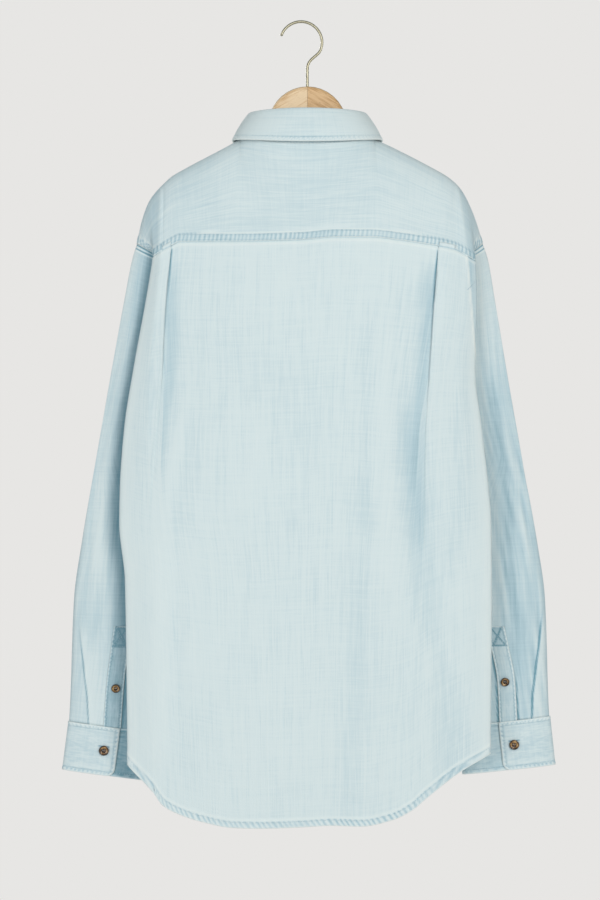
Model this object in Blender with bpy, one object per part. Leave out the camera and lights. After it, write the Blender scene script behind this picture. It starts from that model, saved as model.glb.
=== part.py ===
"""A long-sleeved denim shirt, buttoned up, on a wooden hanger that hangs by its wire hook.

Frame: metres, +Z up. The origin is the underside of the hook's top, where it rests on what carries it.
The shirt's front faces -Y and its back +Y, and its wearer's left is +X.

Sizes are in millimetres: "across" runs from the shirt's middle towards the side in hand, "down" runs
down from the origin, and "out" runs along +Y. place() turns them into metres in the part's frame. Each
piece of cloth is the surface through its wall's middle, as a grid of points, with a Solidify on it.
"""

import math

import bmesh
import bpy
import numpy as np
from mathutils import Vector

MM = 0.001
LEFT, RIGHT = 1, -1

# Cloth and seams
CLOTH = 1.2
CUFF_CLOTH = 2.2
COLLAR_CLOTH = 1.8
SEAM_GAP = 0.3
FRONT_GAP = 0.5  # where a seam runs steeply

# Neck, collar and stand
NECK_ACROSS, NECK_BACK, NECK_FRONT = 75.0, 37.0, 54.0
NECK_DOWN_BACK, NECK_DOWN_SIDE, NECK_DOWN_FRONT = 141.0, 131.5, 188.0
FOLD_ACROSS, FOLD_BACK, FOLD_FRONT = 64.5, 36.0, 49.0
FOLD_DOWN_BACK, FOLD_DOWN_SIDE, FOLD_DOWN_FRONT = 101.5, 103.0, 160.0
FALL_ACROSS, FALL_BACK, FALL_DOWN_BACK, FALL_DOWN_SIDE = 84.5, 43.0, 139.0, 133.2
POINT_ACROSS, POINT_OUT, POINT_DOWN = 47.0, -63.0, 222.0
FALL_END = 172.0  # degrees round the neck from the middle of the back
YOKE_FRONT_END = 122.0  # degrees, where the front yoke seam meets the neck
STAND_OVERLAP = 13.0  # degrees past the middle of the front
STAND_BELOW_FOLD, STAND_INSET, STAND_CLEAR = 6.0, 2.2, 1.3
STAND_CLOTH, STAND_LAP = 1.6, 1.1
COLLAR_ROLL = ((-2.2, 4.6), (-1.6, 1.2), (0.4, 0.0), (2.9, 1.6))  # out and down from the fold, over its top
COLLAR_BULGE = 1.5

# Body
UNDERARM = 530.0
SIDE_FOLD_RUN = 6.0
PLACKET_HALF = 17.0
SEAM_SIDE_HEM = 815.0
FRONT_HEM_MIDDLE = 880.0
ARMHOLE_TOP, ARMHOLE_CORNER = 250.0, 265.0

# Cuffs and buttons
CUFF_WIDTH, CUFF_HEIGHT, CUFF_THICK = 105.0, 55.5, 17.0
CUFF_OVERLAP_END, CUFF_UNDERLAP_END, CUFF_LAP = -7.0, 18.0, 1.35
CUFF_BUTTON = (8.0, 27.0)  # along from the cuff's middle, and below its top edge
PLACKET_CLOTH = 1.0
PLACKET_BUTTONS = {LEFT: (755.0, 218.7), RIGHT: (747.6, 225.5)}  # down and across
LAP_OVER, LAP_UNDER = 1.0, 0.9  # where the fronts overlap, how far each moves from their common surface
PLACKET_WIDTH, PLACKET_TOP = 20.0, 684.0
SHIRT_BUTTON, PLACKET_BUTTON, BUTTON_THICK = 11.4, 10.0, 2.6
BUTTON_SIDES = 14
FRONT_BUTTONS_FROM, FRONT_BUTTONS_PITCH, FRONT_BUTTONS = 238.0, 92.0, 6

# Hanger and hook
WOOD_THICK, WOOD_ROUND, WOOD_DEPTH = 13.0, 4.0, 28.0
ARM_BELOW_RIDGE, ARM_TIP = 2.6, (163.0, 200.0)
HUMP_RADIUS, HUMP_TOP = 44.5, 72.0
WIRE = 3.2
LOOP_RADIUS, LOOP_ACROSS, HOOK_FOOT = 23.7, 7.2, 98.0
SHANK_X = -LOOP_ACROSS


def table(names, *rows):
    """The columns of a table by name."""
    return dict(zip(names.split(), np.array(rows, float).T))


# The ridge of the shoulder and the outside of the sleeve head, from the neck out
RIDGE = table(
    "down left right",
    (131.5, 75.0, 75.0),
    (142.0, 94.0, 97.5),
    (165.0, 137.5, 142.0),
    (174.0, 153.0, 157.5),
    (183.0, 163.0, 168.5),
    (192.0, 171.5, 175.5),
    (201.0, 178.0, 180.5),
    (212.0, 183.0, 185.5),
    (228.0, 188.0, 191.5),
    (250.0, 192.5, 198.0),
)
# The big fold down each side of the back: its edge, the seam in the valley behind it, and that seam's depth
SIDE = table(
    "down edge_left edge_right valley_left valley_right sink",
    (240.0, 169.0, 182.5, 163.0, 176.0, 8.0),
    (265.0, 173.0, 188.0, 162.5, 175.0, 5.0),
    (315.0, 181.5, 190.5, 164.0, 170.0, 0.0),
    (390.0, 195.5, 188.5, 164.0, 160.0, -5.0),
    (460.0, 206.5, 196.5, 158.0, 155.0, -8.0),
    (530.0, 211.5, 204.5, 150.0, 150.0, -11.0),
    (565.0, 212.0, 207.0, 150.0, 150.0, -11.0),
    (632.0, 205.5, 207.7, 150.0, 150.0, -10.0),
    (910.0, 202.0, 205.5, 150.0, 150.0, -8.0),
)
# The two pleats in the back, at the edge that shows. The cloth under a pleat runs further out than its edge
PLEAT = table(
    "down left right throw_left throw_right width lift",
    (240.0, 152.0, 148.5, 6.0, 11.0, 7.0, 3.6),
    (325.0, 159.5, 141.5, 7.0, 10.0, 8.0, 5.5),
    (400.0, 163.7, 136.7, 6.0, 7.0, 10.0, 6.5),
    (470.0, 170.7, 132.5, 3.5, 4.0, 14.0, 6.0),
    (540.0, 176.0, 132.0, 0.0, 2.0, 24.0, 3.0),
    (650.0, 172.0, 132.0, 0.0, 0.0, 36.0, 1.0),
    (910.0, 166.0, 132.0, 0.0, 0.0, 40.0, 0.0),
)
# How far the body stands out: the back at its middle and sides, and the front at its middle and sides
DEPTH = table(
    "down spine side front front_across_left front_across_right front_side",
    (188.0, 33.0, 22.0, -54.0, 165.0, 170.5, -18.0),
    (265.0, 30.0, 20.0, -41.0, 165.0, 170.5, -18.0),
    (315.0, 31.0, 18.5, -34.0, 155.0, 157.0, -23.0),
    (400.0, 32.0, 15.5, -29.0, 148.0, 149.0, -26.0),
    (480.0, 31.0, 13.5, -27.0, 147.0, 147.0, -23.0),
    (530.0, 30.0, 13.0, -26.0, 150.0, 150.0, -11.9),
    (600.0, 28.0, 13.0, -25.0, 150.0, 150.0, -11.0),
    (910.0, 24.0, 12.0, -21.0, 150.0, 150.0, -9.0),
)
# The sleeves: their outer and inner edges, and how far their two faces swell from a line between those
OUTER = table(
    "down left right out",
    (250.0, 192.5, 198.0, -2.0),
    (268.0, 198.0, 204.0, -4.0),
    (313.0, 207.0, 212.0, -7.0),
    (404.0, 224.0, 228.0, -14.0),
    (495.0, 240.5, 244.5, -21.0),
    (586.0, 257.0, 262.0, -32.0),
    (655.0, 267.0, 272.0, -38.0),
    (770.0, 271.5, 276.0, -41.0),
    (795.0, 273.0, 277.5, -42.0),
)
INNER = table(
    "down across out back front",
    (250.0, 165.0, 0.0, 2.0, 3.0),
    (315.0, 165.0, 0.0, 1.5, 6.0),
    (400.0, 160.0, 0.0, 0.0, 10.0),
    (480.0, 155.0, 0.0, 0.0, 13.0),
    (530.0, 151.4, -12.0, 0.5, 15.0),
    (560.0, 141.0, -25.0, 5.0, 17.0),
    (600.0, 132.0, -36.0, 11.0, 19.0),
    (650.0, 128.0, -40.0, 15.0, 19.0),
    (700.0, 132.0, -41.0, 15.0, 18.0),
    (750.0, 147.0, -41.5, 13.0, 14.0),
    (803.0, 169.0, -42.0, 8.0, 9.0),
)
# The back's seam with the yoke, and its hem
YOKE_SEAM = table(
    "across down",
    (-188.0, 270.0),
    (-163.0, 257.4),
    (-135.0, 252.5),
    (-106.0, 248.4),
    (-70.0, 244.7),
    (-34.0, 244.7),
    (8.0, 247.8),
    (85.0, 249.5),
    (143.0, 249.5),
    (152.0, 253.3),
    (173.0, 265.0),
)
HEM = table(
    "across down",
    (-205.5, 826.0),
    (-173.0, 844.4),
    (-137.0, 871.5),
    (-117.0, 888.0),
    (-97.0, 898.0),
    (-60.0, 905.5),
    (-27.0, 904.5),
    (3.0, 906.0),
    (53.0, 907.8),
    (84.0, 907.2),
    (120.5, 900.5),
    (145.0, 892.6),
    (164.0, 882.0),
    (173.0, 869.0),
    (202.0, 839.5),
)
# The front yoke seam, measured from the ridge above it, by the share of the way from the neck to the armhole
FRONT_SEAM = table(
    "along across down out",
    (0.0, -11.4, 15.9, -28.6),
    (0.22, -13.0, 27.0, -23.5),
    (0.42, -18.0, 32.0, -19.5),
    (0.62, -27.0, 25.0, -18.0),
    (0.8, -31.0, 17.0, -18.0),
    (1.0, -27.5, 15.0, -18.0),
)
# The cuffs: the middle of the top edge, the lean of the bottom away from the body, and the ring's depth
CUFFS = {LEFT: (221.2, 800.9, 7.2, -42.0), RIGHT: (225.6, 794.0, 6.0, -42.0)}
PLACKET_LINE = table(
    "down left right",
    (684.0, 210.5, 214.5),
    (708.0, 214.0, 219.5),
    (748.0, 219.3, 226.8),
    (800.0, 223.6, 230.0),
)

# The rows of points along the armhole, and on down the side seam and the sleeve
ARMHOLE_ROWS = (265, 282, 302, 326, 354, 386, 420, 454, 484, 510, 530)
BODY_ROWS = (562, 600, 642, 684, 726, 768, 800, 815)
SLEEVE_ROWS = (545, 562, 584, 610, 645, 685, 720, 750, 778, 803)


def curve(at, stations, values):
    """A smooth curve through a table's values that never swings past them: a monotone cubic."""
    at = np.clip(at, stations[0], stations[-1])
    steps = np.diff(stations)
    slopes = np.diff(values) / steps
    before, after = slopes[:-1], slopes[1:]
    same_way = before * after > 0
    total = np.where(same_way, before + after, 1.0)
    inner = np.where(same_way, 2.0 * before * after / total, 0.0)
    tangents = np.concatenate([slopes[:1], inner, slopes[-1:]])
    k = np.clip(np.searchsorted(stations, at, side="right") - 1, 0, len(steps) - 1)
    t = (at - stations[k]) / steps[k]
    rise = values[k] + (values[k + 1] - values[k]) * t * t * (3.0 - 2.0 * t)
    lean = t * (1.0 - t) * steps[k] * ((1.0 - t) * tangents[k] - t * tangents[k + 1])
    return rise + lean


def ease(x):
    """0 below 0, 1 above 1, and a smooth step between."""
    x = np.clip(x, 0.0, 1.0)
    return x * x * (3.0 - 2.0 * x)


def between(a, b, share):
    return a + (b - a) * share


def hand(side):
    return "left" if side == LEFT else "right"


def place(side, across, down, out):
    """Points in metres in the part's frame, from sizes on one side of the shirt."""
    across, down, out = np.broadcast_arrays(across, down, out)
    return np.stack([(side * across + SHANK_X) * MM, out * MM, -down * MM], axis=-1)


# ---------------------------------------------------------------- the shirt's surfaces


def wrap(clear):
    """How far cloth stands out from its ridge, at a distance down from it: round at first, then flat."""
    return 30.0 * np.tanh(np.sqrt(2.0 * 8.0 * np.maximum(clear, 0.0)) / 30.0)


def ridge(side, share):
    """The shoulder's ridge, from the neck (0) to the outside of the armhole (1)."""
    across, down = RIDGE[hand(side)], RIDGE["down"]
    run = np.concatenate([[0.0], np.cumsum(np.hypot(np.diff(across), np.diff(down)))])
    at = np.asarray(share) * run[-1]
    return curve(at, run, across), curve(at, run, down)


def neck(turn):
    """The neck seam, by degrees from the middle of the back."""
    sine, cosine = np.sin(np.radians(turn)), np.cos(np.radians(turn))
    out = np.where(cosine > 0, NECK_BACK, NECK_FRONT) * cosine
    lowest = np.where(cosine > 0, NECK_DOWN_BACK, NECK_DOWN_FRONT)
    return NECK_ACROSS * sine, between(NECK_DOWN_SIDE, lowest, cosine**2), out


def edge_of(side, down):
    return curve(down, SIDE["down"], SIDE["edge_" + hand(side)])


def valley_of(side, down):
    """Across and out of the seam hidden behind the side fold: the armhole's, and lower down the side seam."""
    across = curve(down, SIDE["down"], SIDE["valley_" + hand(side)])
    return across, curve(down, SIDE["down"], SIDE["sink"])


def back_out(across, side, down):
    spine = curve(down, DEPTH["down"], DEPTH["spine"])
    at_side = curve(down, DEPTH["down"], DEPTH["side"])
    return between(spine, at_side, np.clip(across / edge_of(side, down), 0, 1) ** 2.6)


def side_start(side, down):
    """Where the side fold begins, half way between its edge and its valley."""
    return (edge_of(side, down) + valley_of(side, down)[0]) / 2.0 - SIDE_FOLD_RUN / 2.0


def pleat_of(side, down):
    """The pleat's middle, its throw to each side, its width and its lift."""
    edge = curve(down, PLEAT["down"], PLEAT[hand(side)])
    throw = curve(down, PLEAT["down"], PLEAT["throw_" + hand(side)])
    width = curve(down, PLEAT["down"], PLEAT["width"])
    return edge - width / 4.0 + throw, throw, width, curve(down, PLEAT["down"], PLEAT["lift"])


def pleat_lift(side, down, share):
    """What is left of the pleat's lift at a share of the way from the pleat to the side fold."""
    return pleat_of(side, down)[3] * (1.0 - 0.7 * ease(share))


def side_fold(side, turn, down, lifted):
    """The side fold: over its edge at a turn of a quarter, and back in to the seam at three quarters."""
    edge = edge_of(side, down)
    valley, sink = valley_of(side, down)
    start = side_start(side, down)
    throw = (edge - valley) / 2.0 + SIDE_FOLD_RUN / 4.0
    across = start + SIDE_FOLD_RUN * turn + throw * np.sin(2.0 * np.pi * turn)
    rise = back_out(start, side, down) + lifted
    return across, between(rise, sink, (turn / 0.75) ** 1.3)


def back_section(side, step, down, pleated):
    """Across and out of the back: the steps to 1 are its middle, to 2 the pleat, to 3 its side, to 4 the fold."""
    middle, throw, width, lift = pleat_of(side, down)
    inner, outer = middle - width / 2.0, middle + width / 2.0
    start = np.maximum(side_start(side, down), outer + 0.5)
    share = np.clip(step - 2.0, 0.0, 1.0)
    turn = np.clip(step - 1.0, 0.0, 1.0)
    across = np.where(step < 1.0, inner * step, between(outer, start, share))
    in_pleat = (step >= 1.0) & (step <= 2.0)
    folded = inner + width * turn + pleated * throw * np.sin(2.0 * np.pi * turn)
    across = np.where(in_pleat, folded, across)
    out = back_out(across, side, down) + turn * pleat_lift(side, down, share)
    fold_across, fold_out = side_fold(
        side, np.clip(step - 3.0, 0.0, 1.0) * 0.75, down, pleat_lift(side, down, 1.0)
    )
    in_fold = step > 3.0
    return np.where(in_fold, fold_across, across), np.where(in_fold, fold_out, out)


def front_side(side, down):
    """Across and out of the front's side edge: the front armhole seam, and below it the side seam."""
    across = curve(down, DEPTH["down"], DEPTH["front_across_" + hand(side)])
    out = curve(down, DEPTH["down"], DEPTH["front_side"])
    sink = valley_of(side, down)[1]
    return across, np.where(down >= UNDERARM, sink - CLOTH / 2.0 - SEAM_GAP, out)


def front_out(across, side, down):
    at_side, out_side = front_side(side, down)
    middle = curve(down, DEPTH["down"], DEPTH["front"])
    return between(middle, out_side, np.clip(np.abs(across) / at_side, 0, 1) ** 2.2)


def front_seam(side, share):
    """The front yoke seam, by the share of the way from the neck to the armhole: across, down, out."""
    over, down = ridge(side, share)
    moved = [curve(share, FRONT_SEAM["along"], FRONT_SEAM[name]) for name in ("across", "down", "out")]
    return over + moved[0], down + moved[1], moved[2]


def sleeve_section(side, turn, down):
    """Across and out round a sleeve: turn 0 is its inner edge or the back armhole seam, 0.5 its outer edge."""
    outer = curve(down, OUTER["down"], OUTER[hand(side)])
    outer_out = curve(down, OUTER["down"], OUTER["out"])
    below = ease((down - UNDERARM + 45.0) / 60.0)
    seam, sink = valley_of(side, down)
    front, front_at = front_side(side, down)
    inner = curve(down, INNER["down"], INNER["across"])
    inner_out = curve(down, INNER["down"], INNER["out"])
    low = down >= UNDERARM
    start = np.where(low, inner, seam + SEAM_GAP)
    start_out = np.where(low, inner_out, sink - CLOTH / 2 - 2.0 * SEAM_GAP)
    end = np.where(low, inner, front + FRONT_GAP)
    end_out = np.where(low, inner_out, front_at)
    before = turn > 0.5
    at = np.where(before, 2.0 - 2.0 * turn, 2.0 * turn)  # 0 at an inner edge, 1 at the outer one
    run = between(np.sin(np.pi * at / 2.0), (1.0 - np.cos(np.pi * at)) / 2.0, below)
    swell = np.abs(np.sin(np.pi * at)) ** between(1.0, 0.8, below)
    back = swell * curve(down, INNER["down"], INNER["back"])
    forward = swell * curve(down, INNER["down"], INNER["front"])
    across = between(np.where(before, end, start), outer, run)
    out = between(np.where(before, end_out, start_out), outer_out, run)
    return across, out + np.where(before, -forward, back)


# ---------------------------------------------------------------- making objects


def material(name, colour, roughness, metallic=0.0):
    made = bpy.data.materials.new(name)
    made.use_nodes = True
    shader = made.node_tree.nodes["Principled BSDF"]
    shader.inputs["Base Color"].default_value = (*colour, 1.0)
    shader.inputs["Roughness"].default_value = roughness
    shader.inputs["Metallic"].default_value = metallic
    return made


def add_object(name, points, faces, finish, smooth=True):
    mesh = bpy.data.meshes.new(name)
    mesh.from_pydata([tuple(p) for p in points], [], faces)
    mesh.validate()
    if smooth:
        mesh.shade_smooth()
    mesh.materials.append(finish)
    made = bpy.data.objects.new(name, mesh)
    bpy.context.scene.collection.objects.link(made)
    return made


def grid_faces(rows, columns, first=0):
    return [
        (a, a + 1, a + columns + 1, a + columns)
        for a in (first + r * columns + c for r in range(rows - 1) for c in range(columns - 1))
    ]


def weld(made, within=1e-6):
    """Joins points that lie on each other, such as where a grid closes on itself, and turns all faces one way."""
    shape = bmesh.new()
    shape.from_mesh(made.data)
    bmesh.ops.remove_doubles(shape, verts=shape.verts, dist=within)
    bmesh.ops.recalc_face_normals(shape, faces=shape.faces)
    shape.to_mesh(made.data)
    shape.free()


def cloth(name, grids, finish, wall=CLOTH):
    """A piece of cloth from one or more grids of points, joined where they meet, with a wall."""
    points, faces = [], []
    for grid in grids:
        rows, columns = grid.shape[:2]
        faces += grid_faces(rows, columns, len(points))
        points += list(grid.reshape(-1, 3))
    made = add_object(name, points, faces, finish)
    weld(made)
    solid = made.modifiers.new("Wall", "SOLIDIFY")
    solid.thickness = wall * MM
    solid.offset = 0.0
    return made


# ---------------------------------------------------------------- the shirt's pieces

YOKE_ROWS = 1.0 - (1.0 - np.array([0.0, 0.22, 0.42, 0.6, 0.76, 0.9, 1.0])) ** 1.6
MIDDLE_STEPS = (0.0, 0.18, 0.36, 0.54, 0.7, 0.85)
PLEAT_STEPS = (1.0, 1.14, 1.27, 1.42, 1.58, 1.73, 1.86)
SIDE_STEPS = (2.0, 2.5)
FOLD_STEPS = (3.0, 3.14, 3.26, 3.38, 3.52, 3.68, 3.84, 4.0)
SLEEVE_TURNS = (0, 0.03, 0.08, 0.15, 0.23, 0.3, 0.36, 0.42, 0.46, 0.5, 0.55, 0.61, 0.69, 0.78, 0.87, 0.95, 1)


def yoke_seam(across):
    return curve(across, YOKE_SEAM["across"], YOKE_SEAM["down"])


def head_seam(side, turn):
    """The seam of the yoke with the sleeve, from the back armhole (0) over the outside (0.5) to the front (1)."""
    down = between(ARMHOLE_CORNER, ARMHOLE_TOP, np.sin(np.pi * turn))
    across, out = sleeve_section(side, turn, down)
    return across, down, out


def yoke_top(side, over):
    """What the back of the yoke rises to: the neck while over is negative, in degrees, then the ridge."""
    on_neck = neck(90.0 + np.minimum(over, 0.0))
    on_ridge = ridge(side, np.maximum(over, 0.0))
    at_neck = over < 0
    out = np.where(at_neck, on_neck[2], -2.0 * ease((over - 0.6) / 0.4))
    return np.where(at_neck, on_neck[0], on_ridge[0]), np.where(at_neck, on_neck[1], on_ridge[1]), out


def yoke_seam_down(side, steps, pleated):
    """How far down the seam of the yoke and the back is, at each step across the back."""
    down = ARMHOLE_TOP
    for _ in range(3):
        across = back_section(side, steps, down, pleated)[0]
        down = between(yoke_seam(side * across), ARMHOLE_CORNER, ease((steps - 3.2) / 0.8))
    return down


def yoke_columns(side, steps):
    """For each step across the yoke's back: where it starts on the seam, and what it rises to."""
    down = yoke_seam_down(side, steps, False) - between(SEAM_GAP, 2.0 * SEAM_GAP, ease(steps - 3.0))
    across, out = back_section(side, steps, down, False)
    over = np.interp(steps, (0.54, 1.0, 2.0, 3.0, 4.0), (0.0, 0.5, 0.55, 0.6, 1.0))
    over = np.where(steps < 0.54, -90.0 * (1.0 - steps / 0.54), over)
    return (across, down, out), over


def yoke_back(side, steps, rows):
    (across, down, out), over = yoke_columns(side, steps)
    top = yoke_top(side, over)
    t = rows[:, None]
    length = np.hypot(top[0] - across, top[1] - down)
    round_share = wrap(length * (1.0 - t)) / wrap(length)
    roundness = np.clip(1.0 + np.minimum(over, 0.0) / 90.0, 0.0, 1.0) ** 2
    share = between(1.0 - t, round_share, roundness)
    points = np.array([between(across, top[0], t), between(down, top[1], t), top[2] + (out - top[2]) * share])
    seam = head_seam(side, rows * 0.5)
    points[:, 1:, -1] = np.array([seam[0], seam[1] - FRONT_GAP, seam[2]])[:, 1:]
    return place(side, *points)


def yoke_front(side, steps, rows):
    over = yoke_columns(side, steps)[1]
    start, end = yoke_top(side, over), front_seam(side, over)
    t = 1.0 - rows[::-1, None]
    length = np.hypot(end[0] - start[0], end[1] - start[1])
    end = [between(b, a, FRONT_GAP / length) for a, b in zip(start, end)]
    share = wrap(length * t) / wrap(length)
    points = np.array(
        [between(start[0], end[0], t), between(start[1], end[1], t), between(start[2], end[2], share)]
    )
    on_neck = neck(between(90.0, YOKE_FRONT_END, 1.0 - rows[::-1]))
    points[:, 1:-1, 0] = np.array(on_neck)[:, 1:-1]
    seam = head_seam(side, 0.5 + 0.5 * (1.0 - rows[::-1]))
    points[:, :, -1] = np.array([seam[0] + 0.2, seam[1] - FRONT_GAP, seam[2]])
    points[:, -1, 0] = front_edge_corner(side)
    return place(side, *points)


def front_edge_corner(side):
    across, down, out = front_seam(side, 0.0)
    return across, down - FRONT_GAP, out


def add_yoke(finish):
    steps = np.array(MIDDLE_STEPS[:3] + (0.54, 0.7, 0.85, 1.0, 1.5) + SIDE_STEPS + FOLD_STEPS)
    grids = []
    for side in (LEFT, RIGHT):
        grids.append(yoke_back(side, steps, YOKE_ROWS))
        grids.append(yoke_front(side, steps[steps >= 0.54], YOKE_ROWS))
    return cloth("yoke", grids, finish)


def seam_rows(rows):
    return (np.array(rows, float)[:, None] - ARMHOLE_CORNER) / (SEAM_SIDE_HEM - ARMHOLE_CORNER)


def add_back(finish):
    steps = np.array(MIDDLE_STEPS + PLEAT_STEPS + SIDE_STEPS + FOLD_STEPS)
    share = seam_rows(ARMHOLE_ROWS + BODY_ROWS)
    grids = []
    for side in (LEFT, RIGHT):
        top = yoke_seam_down(side, steps, True)
        hem = curve(side * back_section(side, steps, 850.0, True)[0], HEM["across"], HEM["down"])
        hem = between(hem, SEAM_SIDE_HEM, ease((steps - 3.2) / 0.8))
        down = between(top, hem, share)
        across, out = back_section(side, steps, down, True)
        grids.append(place(side, across, down, out))
    return cloth("back", grids, finish)


def add_front(side, finish):
    over = np.array((0.0, 0.22, 0.42, 0.62, 0.8, 1.0))
    turns = np.array((180.0 + math.degrees(math.asin(PLACKET_HALF / NECK_ACROSS)), 180, 166, 151, 136))
    seam = front_seam(side, over)
    edge = neck(turns)
    top_across = np.concatenate([edge[0], seam[0]])
    top_down = np.concatenate([edge[1], seam[1]])
    top_out = np.concatenate([edge[2], seam[2]])
    share_across = (top_across + PLACKET_HALF) / (top_across[-1] + PLACKET_HALF)
    share_across = between(share_across, np.linspace(0, 1, len(share_across)), 0.3)
    hem = between(FRONT_HEM_MIDDLE, SEAM_SIDE_HEM, np.clip(share_across, 0, 1) ** 5)
    share = seam_rows(ARMHOLE_ROWS + BODY_ROWS)
    down = between(top_down, hem, share)

    def body_across(down):
        return between(-PLACKET_HALF, front_side(side, down)[0], share_across)

    held = 1.0 - ease(share / 0.35)
    across = body_across(down) + (top_across - body_across(top_down)) * held
    shift = top_out - front_out(top_across, side, top_down)
    out = front_out(across, side, down) + shift * (1.0 - ease((down - top_down) / 110.0))
    lap = 1.0 - ease((across - PLACKET_HALF) / PLACKET_HALF)
    out = out + lap * (-LAP_OVER if side == LEFT else LAP_UNDER)
    return cloth("front_" + hand(side), [place(side, across, down, out)], finish)


def add_sleeve(side, finish):
    turn = np.array(SLEEVE_TURNS, float)
    row = np.array(ARMHOLE_ROWS + SLEEVE_ROWS, float)[:, None]
    head = head_seam(side, turn)[1] - ARMHOLE_CORNER
    cuff = cuff_line(side, between(INNER["across"][-1], OUTER[hand(side)][-1], np.sin(np.pi * turn) ** 2))
    cuff = cuff - SEAM_GAP - SLEEVE_ROWS[-1]
    down = row + head * (1.0 - ease((row - ARMHOLE_CORNER) / 200.0)) + cuff * ease((row - 600.0) / 203.0)
    across, out = sleeve_section(side, turn, down)
    return cloth("sleeve_" + hand(side), [place(side, across, down, out)], finish)


def cuff_line(side, across):
    """The top edge of a cuff, which leans with it."""
    middle, down, lean, _ = CUFFS[side]
    return down - (across - middle) * lean / CUFF_HEIGHT


def cuff_point(side, along, below, out):
    """A point on the cuff's ring: along its width, below its top edge, and out from its middle."""
    middle, down, lean, centre = CUFFS[side]
    tilt = math.atan2(lean, CUFF_HEIGHT)
    across = middle + along * math.cos(tilt) + below * math.sin(tilt)
    return place(side, across, down - along * math.sin(tilt) + below * math.cos(tilt), centre + out)


def cuff_ring(turn, lift):
    """The cuff's ring in plan: turn in degrees, 90 at the middle of the face with the button."""
    half, deep = CUFF_WIDTH / 2.0, CUFF_THICK / 2.0
    sine = np.sin(np.radians(turn))
    return half * np.cos(np.radians(turn)), (deep + lift) * np.sign(sine) * np.abs(sine) ** 0.7


def add_cuff(side, finish):
    start = math.degrees(math.acos(2.0 * CUFF_OVERLAP_END / CUFF_WIDTH))
    end = math.degrees(math.acos(2.0 * CUFF_UNDERLAP_END / CUFF_WIDTH)) - 360.0
    turn = np.concatenate([np.linspace(start, 20, 7), np.linspace(0, -180, 14), np.linspace(-200, end, 8)])
    lift = np.interp(turn, (end, start), (-CUFF_LAP, CUFF_LAP))
    along, out = cuff_ring(turn, lift)
    below = np.linspace(0.0, CUFF_HEIGHT, 3)[:, None]
    return cloth("cuff_" + hand(side), [cuff_point(side, along, below, out)], finish, CUFF_CLOTH)


def sleeve_back_out(side, across, down):
    """How far out the back of a sleeve is, at a place on it."""
    inner = curve(down, INNER["down"], INNER["across"])
    outer = curve(down, OUTER["down"], OUTER[hand(side)])
    turn = np.arccos(1.0 - 2.0 * (across - inner) / (outer - inner)) / (2.0 * np.pi)
    return sleeve_section(side, turn, down)[1]


def placket_out(side, across, down):
    return sleeve_back_out(side, across, down) + CLOTH + SEAM_GAP


def placket_centre(side, down):
    return curve(down, PLACKET_LINE["down"], PLACKET_LINE[hand(side)])


def add_sleeve_placket(side, finish):
    down = np.linspace(PLACKET_TOP, 798.0, 7)[:, None]
    across = placket_centre(side, down) + np.linspace(-0.5, 0.5, 5) * PLACKET_WIDTH
    bottom = cuff_line(side, across) - 2.0 * SEAM_GAP
    down = between(PLACKET_TOP, bottom, np.linspace(0, 1, 7)[:, None])
    points = place(side, across, down, placket_out(side, across, down))
    return cloth("sleeve_placket_" + hand(side), [points], finish, PLACKET_CLOTH)


def collar_fold(turn):
    """The top of the collar, by degrees from the middle of the back."""
    sine, cosine = np.sin(np.radians(turn)), np.cos(np.radians(turn))
    out = np.where(cosine > 0, FOLD_BACK, FOLD_FRONT) * cosine
    lowest = np.where(cosine > 0, FOLD_DOWN_BACK, FOLD_DOWN_FRONT)
    return FOLD_ACROSS * sine, between(FOLD_DOWN_SIDE, lowest, cosine**2), out


def collar_edge(turn):
    """The collar's lower edge, round to its points."""
    angle = np.radians(np.minimum(np.abs(turn), 90.0))
    front = np.clip((np.abs(turn) - 90.0) / (FALL_END - 90.0), 0.0, 1.0)
    across = FALL_ACROSS * np.sin(angle) - (FALL_ACROSS - POINT_ACROSS) * front**1.2
    down = between(FALL_DOWN_BACK, FALL_DOWN_SIDE, np.sin(angle) ** 2)
    down = down + (POINT_DOWN - FALL_DOWN_SIDE) * front**1.3
    out = FALL_BACK * np.cos(angle) + POINT_OUT * np.sin(front * np.pi / 2.0) ** 0.7
    return np.sign(turn) * across, down, out


def add_collar(finish):
    front_turns = np.linspace(100, FALL_END, 9)
    turn = np.concatenate([-front_turns[::-1], np.linspace(-88, 88, 17), front_turns])
    fold, edge = collar_fold(turn), collar_edge(turn)
    outward = np.array([np.sin(np.radians(turn)), np.cos(np.radians(turn))])
    rows = []
    for step_out, step_down in COLLAR_ROLL:
        rows.append((fold[0] + step_out * outward[0], fold[1] + step_down, fold[2] + step_out * outward[1]))
    last = rows[-1]
    for share in (0.3, 0.65, 1.0):
        bulge = COLLAR_BULGE * math.sin(math.pi * share)
        rows.append(
            (
                between(last[0], edge[0], share) + bulge * outward[0],
                between(last[1], edge[1], share),
                between(last[2], edge[2], share) + bulge * outward[1],
            )
        )
    across, down, out = np.array(rows).transpose(1, 0, 2)
    return cloth("collar", [place(1, across, down, out)], finish, COLLAR_CLOTH)


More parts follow.
